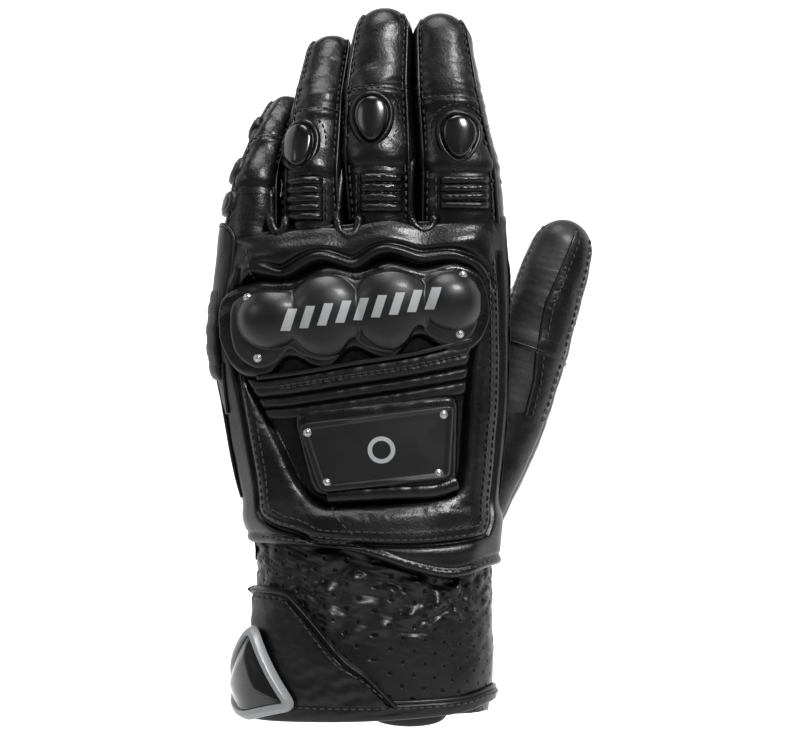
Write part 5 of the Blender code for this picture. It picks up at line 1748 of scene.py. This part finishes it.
def make_stage(floor_height):
    """A round pale floor that curves up into a wall all round, glowing with painted light that is dim in
    front and full behind the glove, soft lights and the camera."""
    radii = list(np.linspace(0.02, 2.0, 8))
    heights = [floor_height] * 8
    for t in np.linspace(0, math.pi / 2, 14)[1:]:
        radii.append(2.0 + 0.6 * math.sin(t))
        heights.append(floor_height + 0.6 * (1 - math.cos(t)))
    radii.append(2.6)
    heights.append(3.2)
    turn = np.linspace(0, 2 * math.pi, 72, endpoint=False)
    radii, heights = np.array(radii)[:, None], np.array(heights)[:, None]
    grid = np.stack([radii * np.cos(turn), radii * np.sin(turn), heights + 0 * turn], axis=-1)
    made, tree, shader = shader_nodes("glowing_pale_floor", (0.42, 0.42, 0.42), 0.7)
    shader.inputs["Specular IOR Level"].default_value = 0.1
    place = tree.nodes.new("ShaderNodeTexCoord").outputs["Object"]
    slow = node(tree, "ShaderNodeTexNoise", Vector=place, Scale=3.0, Detail=2.0)
    tree.links.new(spread(tree, slow.outputs["Fac"], 0, 1, 0.62, 0.75), shader.inputs["Roughness"])
    split = tree.nodes.new("ShaderNodeSeparateXYZ")
    tree.links.new(place, split.inputs[0])
    # Painted light: the floor glows though it is no lamp. Its emission rises from 0.015 in front of the glove
    # to 1 behind it.
    glow = spread(tree, split.outputs["Y"], -0.2, 0.02, 0.015, 1.0)
    tree.links.new(glow, shader.inputs["Emission Strength"])
    shader.inputs["Emission Color"].default_value = (1, 1, 1, 1)
    floor = sheet_mesh("floor", grid[::-1], made, wrap=True, flip=True, close_end=True)

    world = bpy.data.worlds.new("surround")
    world.use_nodes = True
    world.node_tree.nodes["Background"].inputs["Color"].default_value = (1, 1, 1, 1)
    world.node_tree.nodes["Background"].inputs["Strength"].default_value = 0.015
    bpy.context.scene.world = world

    target = Vector((0.01, 0, 0.125))
    lights = (
        ("key", (0.42, -0.66, 0.92), 0.28, 10.5),
        ("fill", (-0.85, -0.45, 0.60), 0.35, 1.0),
        ("front", (0.45, -1.45, 0.30), 0.30, 0.25),
        ("top", (-0.05, -0.05, 1.0), 0.45, 4.5),
    )
    for name, location, size, power in lights:
        data = bpy.data.lights.new(name, "AREA")
        data.size = size
        data.energy = power
        lamp = bpy.data.objects.new(name, data)
        bpy.context.scene.collection.objects.link(lamp)
        lamp.location = location
        lamp.rotation_euler = (target - Vector(location)).to_track_quat("-Z", "Y").to_euler()

    camera_data = bpy.data.cameras.new("camera")
    camera_data.lens = 209
    camera_data.sensor_width = 36
    camera = bpy.data.objects.new("camera", camera_data)
    bpy.context.scene.collection.objects.link(camera)
    camera.location = (0.011, -1.6, 0.1166)
    camera.rotation_euler = (math.pi / 2, 0, 0)
    bpy.context.scene.camera = camera
    bpy.context.scene.view_settings.view_transform = "Standard"
    bpy.context.scene.view_settings.look = "Medium High Contrast"


# ---------------------------------------------------------------- the add-on


def make_all_fingers():
    """The four fingers' skins."""
    for name in FINGERS:
        make_finger(name)


class GloveSettings(bpy.types.PropertyGroup):
    """What a user can change before building the glove."""

    creases: FloatProperty(
        name="Crease depth", description="Scale of the leather's fine creases",
        default=1.0, min=0.0, max=3.0, subtype="FACTOR",
    )
    leather_colour: FloatVectorProperty(
        name="Leather", description="Colour of the leather on the back of the hand",
        subtype="COLOR", default=(0.0035, 0.0035, 0.0037), min=0, max=1,
    )
    tab_colour: FloatVectorProperty(
        name="Tab", description="Colour of the frame round the strap's tab",
        subtype="COLOR", default=(0.20, 0.205, 0.21), min=0, max=1,
    )
    mark_colour: FloatVectorProperty(
        name="Marks", description="Colour of the bars on the guard and the ring on the plate",
        subtype="COLOR", default=(0.30, 0.305, 0.31), min=0, max=1,
    )
    floor_height: FloatProperty(
        name="Floor height", description="Where the floor lies under the glove",
        default=-0.0086, unit="LENGTH", precision=4,
    )


def build(context, *steps):
    """Runs the steps of one group, after making the finishes if no group has yet."""
    settings = context.scene.glove
    if not FINISH:
        FINISH.update(make_materials(settings))
    for step in steps:
        step()
    return {"FINISHED"}


class GLOVE_OT_hand(bpy.types.Operator):
    """Makes the hand's back, palm, seams and stitches"""

    bl_idname = "glove.hand"
    bl_label = "Hand leather"

    def execute(self, context):
        return build(context, make_hand_back, make_hand_palm, make_hand_lines)


class GLOVE_OT_armour(bpy.types.Operator):
    """Makes the guard, the plate, the padded bands, the rivets and the palm patches"""

    bl_idname = "glove.armour"
    bl_label = "Armour and pads"

    def execute(self, context):
        return build(
            context, make_guard, make_guard_marks, make_plate, make_rib_band, make_rivets,
            make_side_and_palm_pads,
        )


class GLOVE_OT_fingers(bpy.types.Operator):
    """Makes the fingers and the thumb with their inserts, folds and pads"""

    bl_idname = "glove.fingers"
    bl_label = "Fingers and thumb"

    def execute(self, context):
        return build(
            context, make_all_fingers, make_inserts, make_accordions, make_little_pads, make_thumb
        )


class GLOVE_OT_cuff(bpy.types.Operator):
    """Makes the cuff, its trim and the closure strap"""

    bl_idname = "glove.cuff"
    bl_label = "Cuff and strap"

    def execute(self, context):
        return build(context, make_cuff_leather, make_cuff_trim, make_strap)


class GLOVE_OT_stage(bpy.types.Operator):
    """Makes the floor, the lights and the camera"""

    bl_idname = "glove.stage"
    bl_label = "Stage"

    def execute(self, context):
        make_stage(context.scene.glove.floor_height)
        return {"FINISHED"}


class GLOVE_PT_panel(bpy.types.Panel):
    """Lists the settings and the groups in the sidebar"""

    bl_idname = "GLOVE_PT_panel"
    bl_label = "Riding glove"
    bl_space_type = "VIEW_3D"
    bl_region_type = "UI"
    bl_category = "Glove"

    def draw(self, context):
        for name in GloveSettings.__annotations__:
            self.layout.prop(context.scene.glove, name)
        for group in OPERATORS:
            self.layout.operator(group.bl_idname)


OPERATORS = (GLOVE_OT_hand, GLOVE_OT_armour, GLOVE_OT_fingers, GLOVE_OT_cuff, GLOVE_OT_stage)
CLASSES = (GloveSettings, *OPERATORS, GLOVE_PT_panel)


def register():
    for made in CLASSES:
        bpy.utils.register_class(made)
    bpy.types.Scene.glove = PointerProperty(type=GloveSettings)


def unregister():
    del bpy.types.Scene.glove
    for made in reversed(CLASSES):
        bpy.utils.unregister_class(made)


def main():
    register()
    for call in ("hand", "armour", "fingers", "cuff", "stage"):
        getattr(bpy.ops.glove, call)()


if __name__ == "__main__":
    main()
